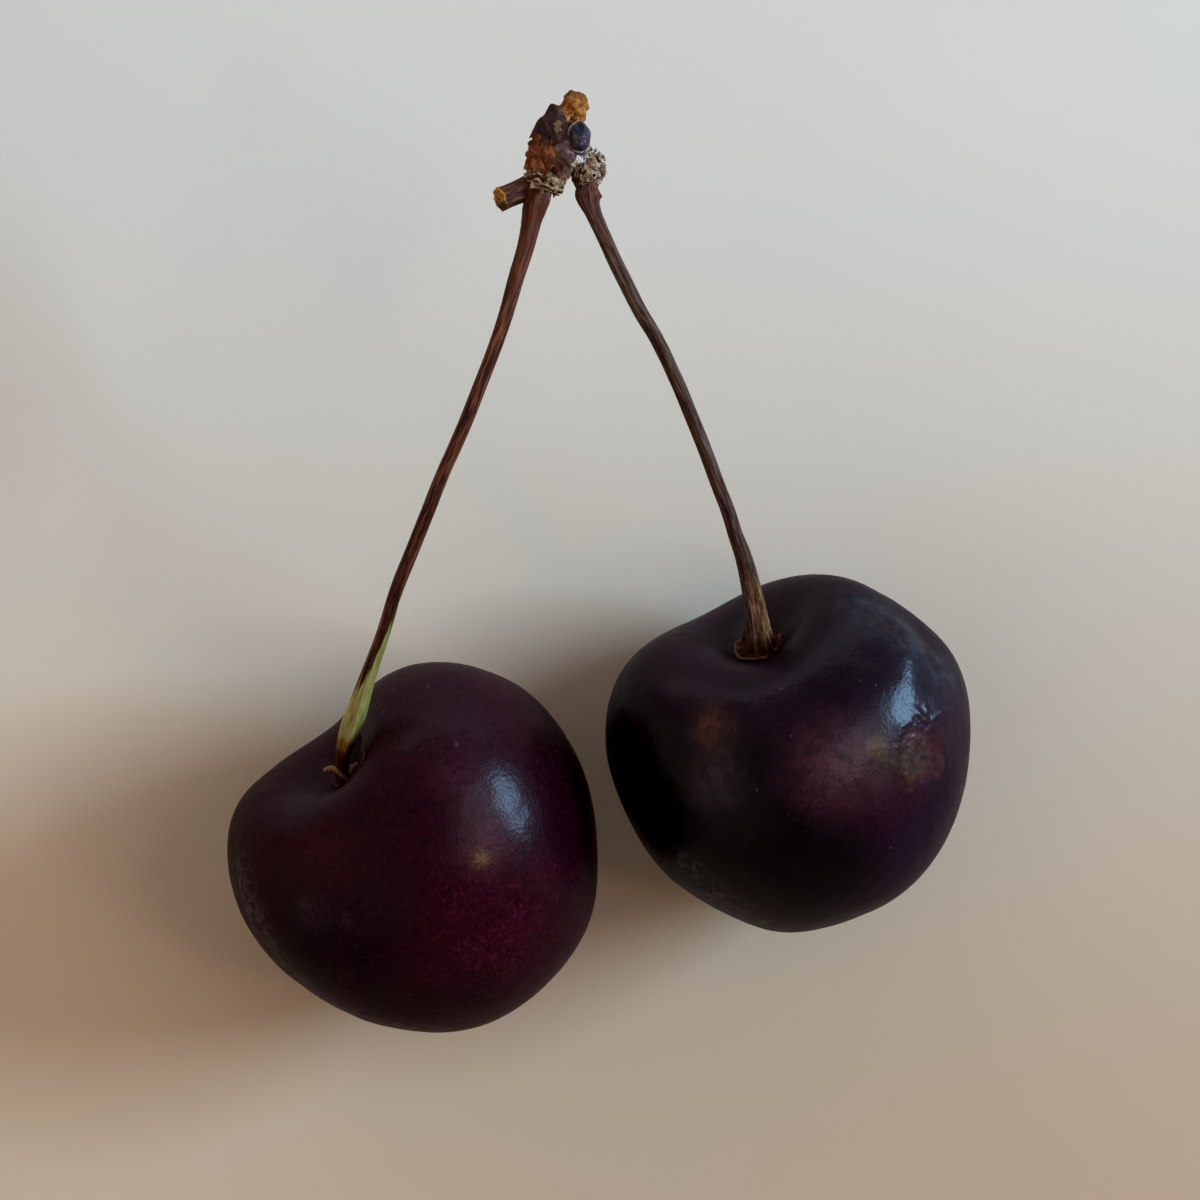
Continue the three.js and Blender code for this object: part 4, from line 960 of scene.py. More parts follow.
def build_scales_right():
    c0 = at(589.0, 170.0, 26.75)
    parts = []
    # the cores under the scales take the darkest tones: painted shade in the gaps between them
    for i, (u, v, z, r) in enumerate(((589, 172, 26.75, (0.98, 0.98, 0.90)), (593.5, 157.5, 26.70, (0.38, 0.46, 0.42)), (585, 183, 26.75, (0.80, 0.62, 0.72)), (599, 171, 26.8, (0.46, 0.55, 0.5)), (578, 176, 26.7, (0.46, 0.6, 0.5)))):
        V, F = lump(at(u, v, z), r, 26, 38, 0.22, 2.2, 9 + i, axis=(0.05, 0.05, 1.0))
        parts.append((V, F, dict(edge=0.0, rnd=-0.45 + 0.12 * i)))
    W, F, A = fuse(parts, 0.060, ((2.0, 0.12), (5.0, 0.05)), 165)
    body = Body().add(W, F, **A)
    rng = np.random.RandomState(17)
    for i in range(140):
        zc = rng.uniform(-1, 1)
        a = rng.uniform(0, 2 * np.pi)
        n = np.array([math.sqrt(1 - zc * zc) * math.cos(a), zc, math.sqrt(1 - zc * zc) * math.sin(a)])
        base = c0 + n * np.array([1.02, 1.22, 0.92]) * rng.uniform(0.90, 1.02) + np.array([0.25 * max(zc, 0), 0, 0])
        tang = unit(np.cross(n, unit(rng.uniform(-1, 1, 3))))
        out = unit(tang + n * rng.uniform(-0.15, 0.30))
        V, F, e = petal(base - out * 0.22, out, n, rng.uniform(0.42, 0.80), rng.uniform(0.34, 0.64), 0.075, rng.uniform(-0.25, 0.25), rng.uniform(-0.35, 0.35), 0.30, 500 + i, 11, 9)
        body.add(V, F, edge=e * rng.uniform(0.55, 1.0), rnd=rng.uniform(0, 1))
    # pale ribbons standing up at the top right
    for i, (u, v) in enumerate(((590, 146.5), (595, 147.5), (599, 151), (601, 157), (604, 163), (606.5, 169), (606, 176), (602, 182), (586, 151), (597.5, 154), (603, 160), (600, 166), (605, 173), (593, 151.5))):
        p1 = at(u, v, 26.95)
        base = c0 + (p1 - c0) * 0.62
        V, F, e = petal(base, p1 - base, (0.2, 0.1, 1.0), np.linalg.norm(p1 - base) + 0.03, 0.42, 0.09, 0.05, 0.25, 0.22, 620 + i, 12, 8)
        body.add(V, F, edge=e, rnd=(0.31 * i) % 1.0)
    return body.make("bud_scales_right_skin")


def build_stub():
    rows = [(-5.00, 28.46, 26.30, 0.82), (-5.40, 28.28, 26.42, 0.80), (-5.85, 28.07, 26.58, 0.76), (-6.35, 27.84, 26.80, 0.75), (-6.70, 27.67, 26.95, 0.79), (-6.90, 27.58, 27.04, 0.82)]

    def shape(S, A):
        return 1 + 0.05 * np.sin(6 * A + 0.8 * S) + 0.07 * around_noise(S, A, 2.4, 0.6, 161) + 0.03 * np.sin(15 * A)

    P, flow, length = tube(rows, 60, 72, shape)
    end = P[-1].mean(0)
    axis = unit(P[-1].mean(0) - P[-8].mean(0))
    # ragged break, with the middle sunk
    rag = 0.10 * fbm(np.stack([np.cos(flow[-12:, :, 0] * 3), flow[-12:, :, 1] * 3, flow[-12:, :, 2] * 0], -1), 3, 163)
    P[-12:] += (rag * np.linspace(0, 1, 12)[:, None])[..., None] * axis
    inner = [end + (P[-1] - end) * k + axis * h for k, h in ((0.86, 0.03), (0.66, -0.04), (0.42, 0.02), (0.2, -0.05))]
    inner = [q + (0.05 * fbm(q * 4.5, 2, 165))[..., None] * axis for q in inner]
    P2 = np.concatenate([P, np.array(inner)])
    V, F = closed_rings(P2)
    n_out = P.shape[0] * P.shape[1]
    torn = np.zeros(len(V))
    torn[n_out:] = 1.0
    torn[-2] = 0.0
    s = np.concatenate([flow[..., 2].ravel(), np.full(len(V) - n_out, length)])
    torn = np.maximum(torn, smooth((s - length + 0.22) / 0.2) * 0.9)
    fl = np.concatenate([flow.reshape(-1, 3), np.tile(flow[-1], (4, 1)), [[0, 0, 0], [0, 0, length]]])
    body = Body().add(V, F, flow=fl, torn=torn, rnd=0.4)
    rng = np.random.RandomState(3)
    x = unit(np.cross(axis, [0, 0, 1.0]))
    y = np.cross(axis, x)
    # crumbling fibres over the break
    for i in range(34):
        a, r = rng.uniform(0, 2 * np.pi), 0.70 * math.sqrt(rng.uniform(0.02, 1))
        c = end + r * (math.cos(a) * x + math.sin(a) * y) - axis * 0.02
        w = rng.uniform(0.10, 0.20)
        V, F = lump(c, (w, w * 0.9, w * rng.uniform(0.5, 0.9)), 14, 18, 0.6, 2.0, 700 + i, axis=axis)
        body.add(V, F, torn=1.0, rnd=rng.uniform(0, 1))
    return body.make("stalk_stub_skin")


spur = build_spur()
bud = build_bud()
bract = build_bract()
scales_l = build_scales_left()
scales_r = build_scales_right()
stub = build_stub()


# ---- materials --------------------------------------------------------------------------
class Nodes:
    """A small builder for one material's node tree. Coordinates are in layout millimetres."""

    def __init__(self, name):
        self.mat = bpy.data.materials.new(name)
        self.mat.use_nodes = True
        self.t = self.mat.node_tree
        self.t.nodes.clear()
        self.out = self.t.nodes.new("ShaderNodeOutputMaterial")
        self.bsdf = self.t.nodes.new("ShaderNodeBsdfPrincipled")
        self.t.links.new(self.bsdf.outputs[0], self.out.inputs[0])
        tc = self.t.nodes.new("ShaderNodeTexCoord")
        self.mm = self.vec("SUBTRACT", self.scale(tc.outputs["Object"], 1000.0), tuple(SHIFT))

    def put(self, sock, value):
        if isinstance(value, bpy.types.NodeSocket):
            self.t.links.new(value, sock)
        elif value is not None:
            if hasattr(sock, "default_value"):
                if sock.type == "RGBA" and len(value) == 3:
                    value = (*value, 1.0)
                sock.default_value = value

    def math(self, op, a, b=None, clamp=False):
        n = self.t.nodes.new("ShaderNodeMath")
        n.operation, n.use_clamp = op, clamp
        self.put(n.inputs[0], a)
        if b is not None:
            self.put(n.inputs[1], b)
        return n.outputs[0]

    def vec(self, op, a, b=None):
        n = self.t.nodes.new("ShaderNodeVectorMath")
        n.operation = op
        self.put(n.inputs[0], a)
        if b is not None:
            self.put(n.inputs[1], b)
        return n.outputs["Value"] if op in ("LENGTH", "DISTANCE", "DOT_PRODUCT") else n.outputs[0]

    def scale(self, a, k):
        n = self.t.nodes.new("ShaderNodeVectorMath")
        n.operation = "SCALE"
        self.put(n.inputs[0], a)
        n.inputs["Scale"].default_value = k
        return n.outputs[0]

    def noise(self, v, scale, detail=2.0, rough=0.5, distort=0.0):
        n = self.t.nodes.new("ShaderNodeTexNoise")
        self.put(n.inputs["Vector"], v)
        n.inputs["Scale"].default_value = scale
        n.inputs["Detail"].default_value = detail
        n.inputs["Roughness"].default_value = rough
        n.inputs["Distortion"].default_value = distort
        return n.outputs[0]

    def cells(self, v, scale, feature="F1", spread=1.0):
        n = self.t.nodes.new("ShaderNodeTexVoronoi")
        n.feature = feature
        self.put(n.inputs["Vector"], v)
        n.inputs["Scale"].default_value = scale
        n.inputs["Randomness"].default_value = spread
        return n.outputs[0], (n.outputs[1] if feature != "DISTANCE_TO_EDGE" else None)

    def remap(self, x, a, b, c=0.0, d=1.0, ease=True):
        n = self.t.nodes.new("ShaderNodeMapRange")
        n.interpolation_type = "SMOOTHSTEP" if ease else "LINEAR"
        n.clamp = True
        self.put(n.inputs[0], x)
        for i, v in ((1, a), (2, b), (3, c), (4, d)):
            n.inputs[i].default_value = v
        return n.outputs[0]

    def near(self, centre, inner, outer, squash=None, v=None):
        """1 within inner mm of a point, 0 beyond outer."""
        v = self.mm if v is None else v
        return self.remap(self.vec("DISTANCE", v, tuple(float(c) for c in centre)), inner, outer, 1.0, 0.0)

    def along(self, points, width, inner=0.0, v=None):
        m = None
        for p in points:
            k = self.near(p, inner, width, v=v)
            m = k if m is None else self.math("MAXIMUM", m, k)
        return m

    def mix(self, fac, a, b, mode="MIX"):
        n = self.t.nodes.new("ShaderNodeMix")
        n.data_type, n.blend_type = "RGBA", mode
        n.clamp_factor = True
        self.put(n.inputs[0], fac)
        self.put(n.inputs[6], a)
        self.put(n.inputs[7], b)
        return n.outputs[2]

    def ramp(self, fac, stops, kind="LINEAR"):
        n = self.t.nodes.new("ShaderNodeValToRGB")
        r = n.color_ramp
        r.interpolation = kind
        while len(r.elements) < len(stops):
            r.elements.new(0.5)
        for e, (p, c) in zip(r.elements, stops):
            e.position = p
            e.color = (*c, 1.0) if len(c) == 3 else c
        self.put(n.inputs[0], fac)
        return n.outputs[0]

    def attr(self, name, vector=False):
        n = self.t.nodes.new("ShaderNodeAttribute")
        n.attribute_type = "GEOMETRY"
        n.attribute_name = name
        return n.outputs["Vector"] if vector else n.outputs["Fac"]

    def split(self, v):
        n = self.t.nodes.new("ShaderNodeSeparateXYZ")
        self.put(n.inputs[0], v)
        return n.outputs[0], n.outputs[1], n.outputs[2]

    def join(self, x, y, z):
        n = self.t.nodes.new("ShaderNodeCombineXYZ")
        for i, v in enumerate((x, y, z)):
            self.put(n.inputs[i], v)
        return n.outputs[0]

    def bump(self, height, mm, normal=None):
        n = self.t.nodes.new("ShaderNodeBump")
        n.inputs["Strength"].default_value = 1.0
        n.inputs["Distance"].default_value = mm * 0.001
        self.put(n.inputs["Height"], height)
        if normal is not None:
            self.put(n.inputs["Normal"], normal)
        return n.outputs[0]

    def finish(self, color, rough, normal=None, specular=0.5, sheen=0.0, sheen_rough=0.4, sheen_tint=(1, 1, 1), coat=0.0, coat_rough=0.2, coat_ior=1.5):
        b = self.bsdf
        self.put(b.inputs["Base Color"], color)
        self.put(b.inputs["Roughness"], rough)
        if normal is not None:
            self.put(b.inputs["Normal"], normal)
            if coat:
                self.put(b.inputs["Coat Normal"], normal)
        b.inputs["Specular IOR Level"].default_value = specular
        b.inputs["Sheen Weight"].default_value = sheen
        b.inputs["Sheen Roughness"].default_value = sheen_rough
        b.inputs["Sheen Tint"].default_value = (*sheen_tint, 1.0)
        b.inputs["Coat Weight"].default_value = coat
        b.inputs["Coat Roughness"].default_value = coat_rough
        b.inputs["Coat IOR"].default_value = coat_ior
        return self.mat


def skin_bump(g):
    """The orange-peel unevenness that breaks a highlight up into a network."""
    slow = g.noise(g.mm, 0.55, 2.0, 0.5)
    mid = g.noise(g.mm, 1.9, 2.0, 0.5)
    warp = g.scale(g.join(g.noise(g.mm, 2.1, 1.0), g.noise(g.scale(g.mm, 1.07), 2.3, 1.0), g.noise(g.scale(g.mm, 0.93), 2.2, 1.0)), 0.35)
    net, _ = g.cells(g.vec("ADD", g.mm, warp), 3.9)
    fine = g.noise(g.mm, 8.0, 2.0, 0.55)
    b = g.bump(slow, 0.030)
    b = g.bump(mid, 0.0060, b)
    b = g.bump(net, 0.0095, b)
    return g.bump(fine, 0.0018, b)


def skin_left_material():
    g, M = Nodes("cherry_skin_left"), MARKS["left"]
    broad, mid = g.noise(g.mm, 0.11, 3.0, 0.55), g.noise(g.mm, 0.42, 3.0, 0.55)
    color = g.mix(g.remap(broad, 0.38, 0.62), (0.0265, 0.0020, 0.0078), (0.0375, 0.0028, 0.0100))
    red = g.math("MAXIMUM", g.near(M["glow"], 1.0, 8.5), g.math("MULTIPLY", g.near(M["glow3"], 0.5, 5.0), 0.65))
    glow = g.math("MULTIPLY", red, g.remap(mid, 0.30, 0.62, 0.50, 1.0))
    color = g.mix(glow, color, (0.0680, 0.0036, 0.0165))
    color = g.mix(g.math("MULTIPLY", g.near(M["glow2"], 0.5, 6.5), 0.5), color, (0.0480, 0.0034, 0.0110))
    # partly the skin's own red-brown, partly a painted warm reflection
    color = g.mix(g.math("MULTIPLY", g.near(M["brown"], 0.5, 5.0), g.remap(mid, 0.35, 0.65, 0.35, 0.9)), color, (0.0760, 0.0095, 0.0085))
    # partly waxy bloom, partly painted sheen: the top of the fruit made greyer and lighter where it reflects the pale
    # floor
    color = g.mix(g.math("MULTIPLY", g.near(M["dusk"], 1.0, 10.0), 0.65), color, (0.0430, 0.0120, 0.0230))
    color = g.mix(g.math("MULTIPLY", g.near(M["lobe"], 1.0, 8.0), 0.6), color, (0.0440, 0.0060, 0.0105))
    dark = g.math("MULTIPLY", g.near(M["dark"], 1.5, 8.0), g.remap(mid, 0.35, 0.60, 0.55, 0.95))
    color = g.mix(dark, color, (0.0110, 0.0014, 0.0046))
    # painted shade: the side facing the right-hand fruit darkened, where that fruit shades it and shows darkly in it
    color = g.mix(g.math("MULTIPLY", g.near(M["shade"], 2.2, 8.5), 0.92), color, (0.0105, 0.0036, 0.0048))
    color = g.mix(g.math("MULTIPLY", g.near(M["shade2"], 0.8, 4.8), 0.60), color, (0.0130, 0.0036, 0.0050))
    # painted shade: the bottom edge darkened
    color = g.mix(g.math("MULTIPLY", g.along(M["low"], 3.4, 0.4), 0.55), color, (0.0090, 0.0012, 0.0030))
    # painted sheen: a paler grey-purple patch beside the highlight, standing in for a broad soft reflection
    color = g.mix(g.math("MULTIPLY", g.along(M["halo"], 3.3, 0.2), g.remap(mid, 0.34, 0.64, 0.30, 0.62)), color, (0.1050, 0.0300, 0.0480))
    # fine mottling all over, and short pale flecks in the red side
    grain = g.noise(g.mm, 2.7, 3.0, 0.6)
    color = g.mix(g.remap(grain, 0.40, 0.62, 0.0, 0.42), color, g.mix(0.5, color, (0.0950, 0.0110, 0.0260)))
    color = g.mix(g.remap(g.noise(g.vec("ADD", g.mm, (5.0, 3.0, 1.0)), 2.0, 3.0, 0.55), 0.50, 0.68, 0.0, 0.46), color, (0.0120, 0.0011, 0.0045))
    fleck = g.remap(g.noise(g.vec("MULTIPLY", g.mm, (1.35, 0.75, 1.0)), 2.9, 1.0, 0.4), 0.50, 0.74)
    patchy = g.remap(g.noise(g.mm, 0.33, 3.0, 0.55), 0.38, 0.60, 0.35, 1.0)
    fleck = g.math("MULTIPLY", g.math("MULTIPLY", fleck, patchy), g.math("ADD", g.math("MULTIPLY", glow, 0.50), 0.06))
    color = g.mix(fleck, color, (0.1900, 0.0280, 0.0500))
    # lenticels
    d, c = g.cells(g.mm, 0.36)
    dot = g.math("MULTIPLY", g.remap(d, 0.012, 0.045, 1.0, 0.0), g.remap(g.split(c)[0], 0.62, 0.66))
    color = g.mix(g.math("MULTIPLY", dot, 0.65), color, (0.0900, 0.0450, 0.0480))
    for p in M["speck"]:
        color = g.mix(g.math("MULTIPLY", g.near(p, 0.05, 0.27), 0.6), color, (0.1150, 0.0780, 0.0850))
    # painted shade: the hollow beside the stalk's foot darkened almost to black
    for p, wide in zip(M["hollow"], (1.5, 1.0, 0.8)):
        color = g.mix(g.math("MULTIPLY", g.near(p, 0.3, wide), 0.9), color, (0.0035, 0.0022, 0.0040))
    blot = g.remap(g.noise(g.mm, 1.2, 4.0, 0.62), 0.34, 0.66, 0.15, 1.0)
    for p, wide, k in zip(M["blot"], (1.9, 1.3, 0.9), (0.34, 0.22, 0.30)):
        color = g.mix(g.math("MULTIPLY", g.math("MULTIPLY", g.near(p, 0.0, wide), blot), k), color, (0.1250, 0.0560, 0.0620))
    # waxy bloom rubbed along the lower left side
    line = g.along(M["scuff"], 3.1)
    streak = g.remap(g.noise(g.vec("MULTIPLY", g.mm, (1.3, 0.8, 0.55)), 1.7, 5.0, 0.66, 0.8), 0.42, 0.62)
    bloom = g.math("MULTIPLY", line, streak)
    color = g.mix(g.math("MULTIPLY", bloom, 0.68), color, (0.1500, 0.1350, 0.1580))
    # partly a painted warm lamp reflection, partly ripening colour: a small golden spot with a softer halo
    gold = g.remap(g.noise(g.mm, 2.6, 3.0, 0.6), 0.36, 0.60, 0.25, 1.0)
    color = g.mix(g.math("MULTIPLY", g.math("MULTIPLY", g.near(M["gold"], 0.1, 2.4), gold), 0.42), color, (0.1050, 0.0420, 0.0300))
    color = g.mix(g.math("MULTIPLY", g.math("MULTIPLY", g.near(M["gold"], 0.0, 1.05), gold), 0.72), color, (0.2300, 0.1350, 0.0560))
    # partly waxy bloom, partly painted sheen on the rim below the stalk
    bloom_and_sheen = g.math("MULTIPLY", g.near(M["grey2"], 0.5, 4.2), g.remap(g.noise(g.mm, 0.8, 4.0, 0.6), 0.38, 0.62, 0.15, 0.85))
    color = g.mix(g.math("MULTIPLY", bloom_and_sheen, 0.42), color, (0.0560, 0.0540, 0.0680))
    end = g.near(M["end"], 0.35, 0.85)
    color = g.mix(g.math("MULTIPLY", end, 0.85), color, (0.1500, 0.0800, 0.0450))
    rough = g.math("ADD", g.remap(g.noise(g.mm, 0.9, 4.0, 0.6), 0.3, 0.7, 0.40, 0.52, False), g.math("MULTIPLY", bloom, 0.25), clamp=True)
    return g.finish(color, rough, skin_bump(g), specular=0.055, coat=0.104, coat_rough=0.30, coat_ior=2.2, sheen=0.0, sheen_rough=0.35, sheen_tint=(0.72, 0.70, 0.85))


def skin_right_material():
    g, M = Nodes("cherry_skin_right"), MARKS["right"]
    broad, mid = g.noise(g.mm, 0.10, 3.0, 0.55), g.noise(g.mm, 0.40, 3.0, 0.55)
    color = g.mix(g.remap(broad, 0.38, 0.62), (0.0205, 0.0072, 0.0150), (0.0290, 0.0075, 0.0190))
    color = g.mix(g.near(M["violet"], 1.5, 9.0), color, (0.0200, 0.0042, 0.0215))
    glow = g.math("MULTIPLY", g.along(M["red"], 3.6), g.remap(mid, 0.34, 0.60, 0.45, 1.0))
    color = g.mix(glow, color, (0.0560, 0.0030, 0.0165))
    color = g.mix(g.math("MULTIPLY", g.near(M["glow2"], 0.5, 7.0), 0.45), color, (0.0330, 0.0042, 0.0200))
    color = g.mix(g.math("MULTIPLY", g.near(M["upper"], 1.0, 9.5), 0.8), color, (0.0130, 0.0080, 0.0150))
    # painted shade: the stem well around the stalk's foot darkened
    color = g.mix(g.math("MULTIPLY", g.along(M["well"], 4.2, 1.0), 0.80), color, (0.0058, 0.0023, 0.0045))
    color = g.mix(g.math("MULTIPLY", g.along(M["upleft"], 4.4, 0.5), 0.70), color, (0.0150, 0.0022, 0.0065))
    # partly the skin's own darker colour, partly painted shade: the left and lower left of this fruit darkened almost
    # to black where the left-hand fruit shades it and shows darkly in it
    dark = g.math("MULTIPLY", g.math("MAXIMUM", g.along(M["black"], 7.4, 2.2), g.math("MULTIPLY", g.along(M["black2"], 3.6, 0.5), 0.85)), g.remap(g.noise(g.mm, 0.24, 3.0, 0.55), 0.30, 0.52, 0.84, 1.0))
    color = g.mix(dark, color, (0.0034, 0.0017, 0.0026))
    color = g.mix(g.near(M["dark_side"], 2.0, 9.0), color, (0.0022, 0.0014, 0.0020))
    # paler clouds under the skin: partly half-ripe colour, partly painted reflections of warm lamps and the room (the
    # tan, pink and warm spots)
    cloud = g.remap(g.noise(g.mm, 0.9, 4.0, 0.62), 0.36, 0.62, 0.35, 1.0)
    for key, inner, outer, k, tone in (("side", 0.4, 4.2, 0.60, (0.0720, 0.0330, 0.0480)), ("warm3", 0.4, 3.8, 0.72, (0.1050, 0.0460, 0.0420)), ("pink", 0.2, 5.2, 0.88, (0.1180, 0.0350, 0.0410)), ("tan1", 0.1, 2.6, 0.85, (0.1500, 0.0600, 0.0330)),
                                       ("tan2", 0.1, 1.15, 0.95, (0.3400, 0.1900, 0.0900)), ("patch", 0.3, 3.4, 0.80, (0.0800, 0.0510, 0.0500))):
        color = g.mix(g.math("MULTIPLY", g.math("MULTIPLY", g.near(M[key], inner, outer), cloud), k), color, tone)
    grain = g.noise(g.mm, 2.7, 3.0, 0.6)
    color = g.mix(g.math("MULTIPLY", g.remap(grain, 0.40, 0.62, 0.0, 0.50), g.math("SUBTRACT", 1.0, g.math("MULTIPLY", dark, 0.8))), color, g.mix(0.5, color, (0.0480, 0.0120, 0.0270)))
    # partly waxy bloom, partly painted sheen: grey-blue over the upper right shoulder
    color = g.mix(g.math("MULTIPLY", g.along(M["bloomy"], 3.4, 0.3), g.remap(g.noise(g.mm, 0.8, 4.0, 0.6), 0.36, 0.64, 0.12, 0.52)), color, (0.0820, 0.0880, 0.1060))
    color = g.mix(g.remap(g.noise(g.vec("ADD", g.mm, (5.0, 3.0, 1.0)), 3.3, 2.0, 0.5), 0.52, 0.66, 0.0, 0.20), color, (0.0060, 0.0016, 0.0045))
    fleck = g.remap(g.noise(g.vec("MULTIPLY", g.mm, (1.2, 0.85, 1.0)), 4.2, 2.0, 0.5), 0.52, 0.68)
    color = g.mix(g.math("MULTIPLY", fleck, g.math("ADD", g.math("MULTIPLY", glow, 0.20), 0.03)), color, (0.1500, 0.0330, 0.0580))
    d, c = g.cells(g.vec("ADD", g.mm, (31.0, 7.0, 3.0)), 0.36)
    dot = g.math("MULTIPLY", g.remap(d, 0.012, 0.045, 1.0, 0.0), g.remap(g.split(c)[0], 0.66, 0.70))
    color = g.mix(g.math("MULTIPLY", dot, 0.6), color, (0.0900, 0.0650, 0.0750))
    for p in M["speck"]:
        color = g.mix(g.math("MULTIPLY", g.near(p, 0.02, 0.13), 0.65), color, (0.1300, 0.1000, 0.1250))
    # the bruise: tan and netted, with a dark red-brown line down its left side
    b = g.attr("bruise")
    soft = g.math("ADD", b, g.math("MULTIPLY", g.math("SUBTRACT", g.noise(g.mm, 1.5, 4.0, 0.65), 0.5), 1.3))
    inside = g.remap(soft, 0.12, 1.05)
    net, _ = g.cells(g.vec("ADD", g.mm, g.scale(g.join(g.noise(g.mm, 1.8, 2.0), g.noise(g.scale(g.mm, 1.1), 1.9, 2.0), 0.5), 0.5)), 2.5)
    tan = g.mix(g.remap(g.math("ADD", g.math("MULTIPLY", net, 0.35), g.math("MULTIPLY", g.noise(g.mm, 1.7, 4.0, 0.65), 1.2)), 0.48, 1.00), (0.1450, 0.0860, 0.0640), (0.0820, 0.0420, 0.0340))
    tan = g.mix(g.remap(g.noise(g.vec("ADD", g.mm, (9.0, 2.0, 5.0)), 1.3, 3.0, 0.6), 0.52, 0.66, 0.0, 0.85), tan, (0.0760, 0.0140, 0.0130))
    tan = g.mix(g.near(M["tan_c"], 0.7, 2.5), (0.0980, 0.0300, 0.0330), tan)
    color = g.mix(g.math("MULTIPLY", inside, 0.85), color, tan)
    rim = g.math("MULTIPLY", g.along(M["rim"], 0.60, 0.16), g.remap(g.noise(g.mm, 1.9, 3.0, 0.6), 0.34, 0.54, 0.2, 1.0))
    color = g.mix(rim, color, (0.0520, 0.0085, 0.0045))
    for p in M["rust"]:
        color = g.mix(g.math("MULTIPLY", g.near(p, 0.15, 0.75), g.remap(g.noise(g.mm, 2.2, 2.0, 0.5), 0.38, 0.58)), color, (0.0950, 0.0190, 0.0150))
    for p in M["dark_spot"]:
        color = g.mix(g.math("MULTIPLY", g.near(p, 0.10, 0.42), 0.45), color, (0.0200, 0.0030, 0.0090))
    ring = g.math("MULTIPLY", g.near(M["bruise"], 2.2, 4.6), g.remap(g.noise(g.mm, 1.2, 3.0, 0.6), 0.40, 0.66, 0.1, 0.6))
    color = g.mix(g.math("MULTIPLY", ring, g.math("SUBTRACT", 1.0, inside)), color, (0.0600, 0.0190, 0.0310))
    # partly a painted warm lamp reflection, partly tan colour by the bruise
    warm = g.math("MULTIPLY", g.near(M["warm2"], 0.3, 2.1), g.remap(g.noise(g.mm, 1.9, 3.0, 0.6), 0.40, 0.60, 0.15, 0.75))
    color = g.mix(warm, color, (0.0900, 0.0480, 0.0300))
    line = g.along(M["scuff"], 2.4)
    bloom = g.math("MULTIPLY", line, g.remap(g.noise(g.mm, 1.3, 4.0, 0.62, 0.6), 0.42, 0.64))
    color = g.mix(g.math("MULTIPLY", bloom, 0.75), color, (0.1200, 0.1050, 0.1000))
    color = g.mix(g.near(M["pit"], 0.10, 0.30), color, (0.0010, 0.0008, 0.0010))
    end = g.near(M["end"], 0.35, 0.85)
    color = g.mix(g.math("MULTIPLY", end, 0.85), color, (0.1500, 0.0800, 0.0450))
    rough = g.math("ADD", g.remap(g.noise(g.mm, 0.9, 4.0, 0.6), 0.3, 0.7, 0.38, 0.50, False), g.math("MULTIPLY", g.math("MAXIMUM", bloom, inside), 0.18), clamp=True)
    normal = skin_bump(g)
    normal = g.bump(g.math("MULTIPLY", g.math("ADD", net, g.noise(g.mm, 3.0, 4.0, 0.65)), inside), 0.006, normal)
    return g.finish(color, rough, normal, specular=0.055, coat=0.138, coat_rough=0.29, coat_ior=2.2, sheen=0.0, sheen_rough=0.35, sheen_tint=(0.70, 0.72, 0.90))


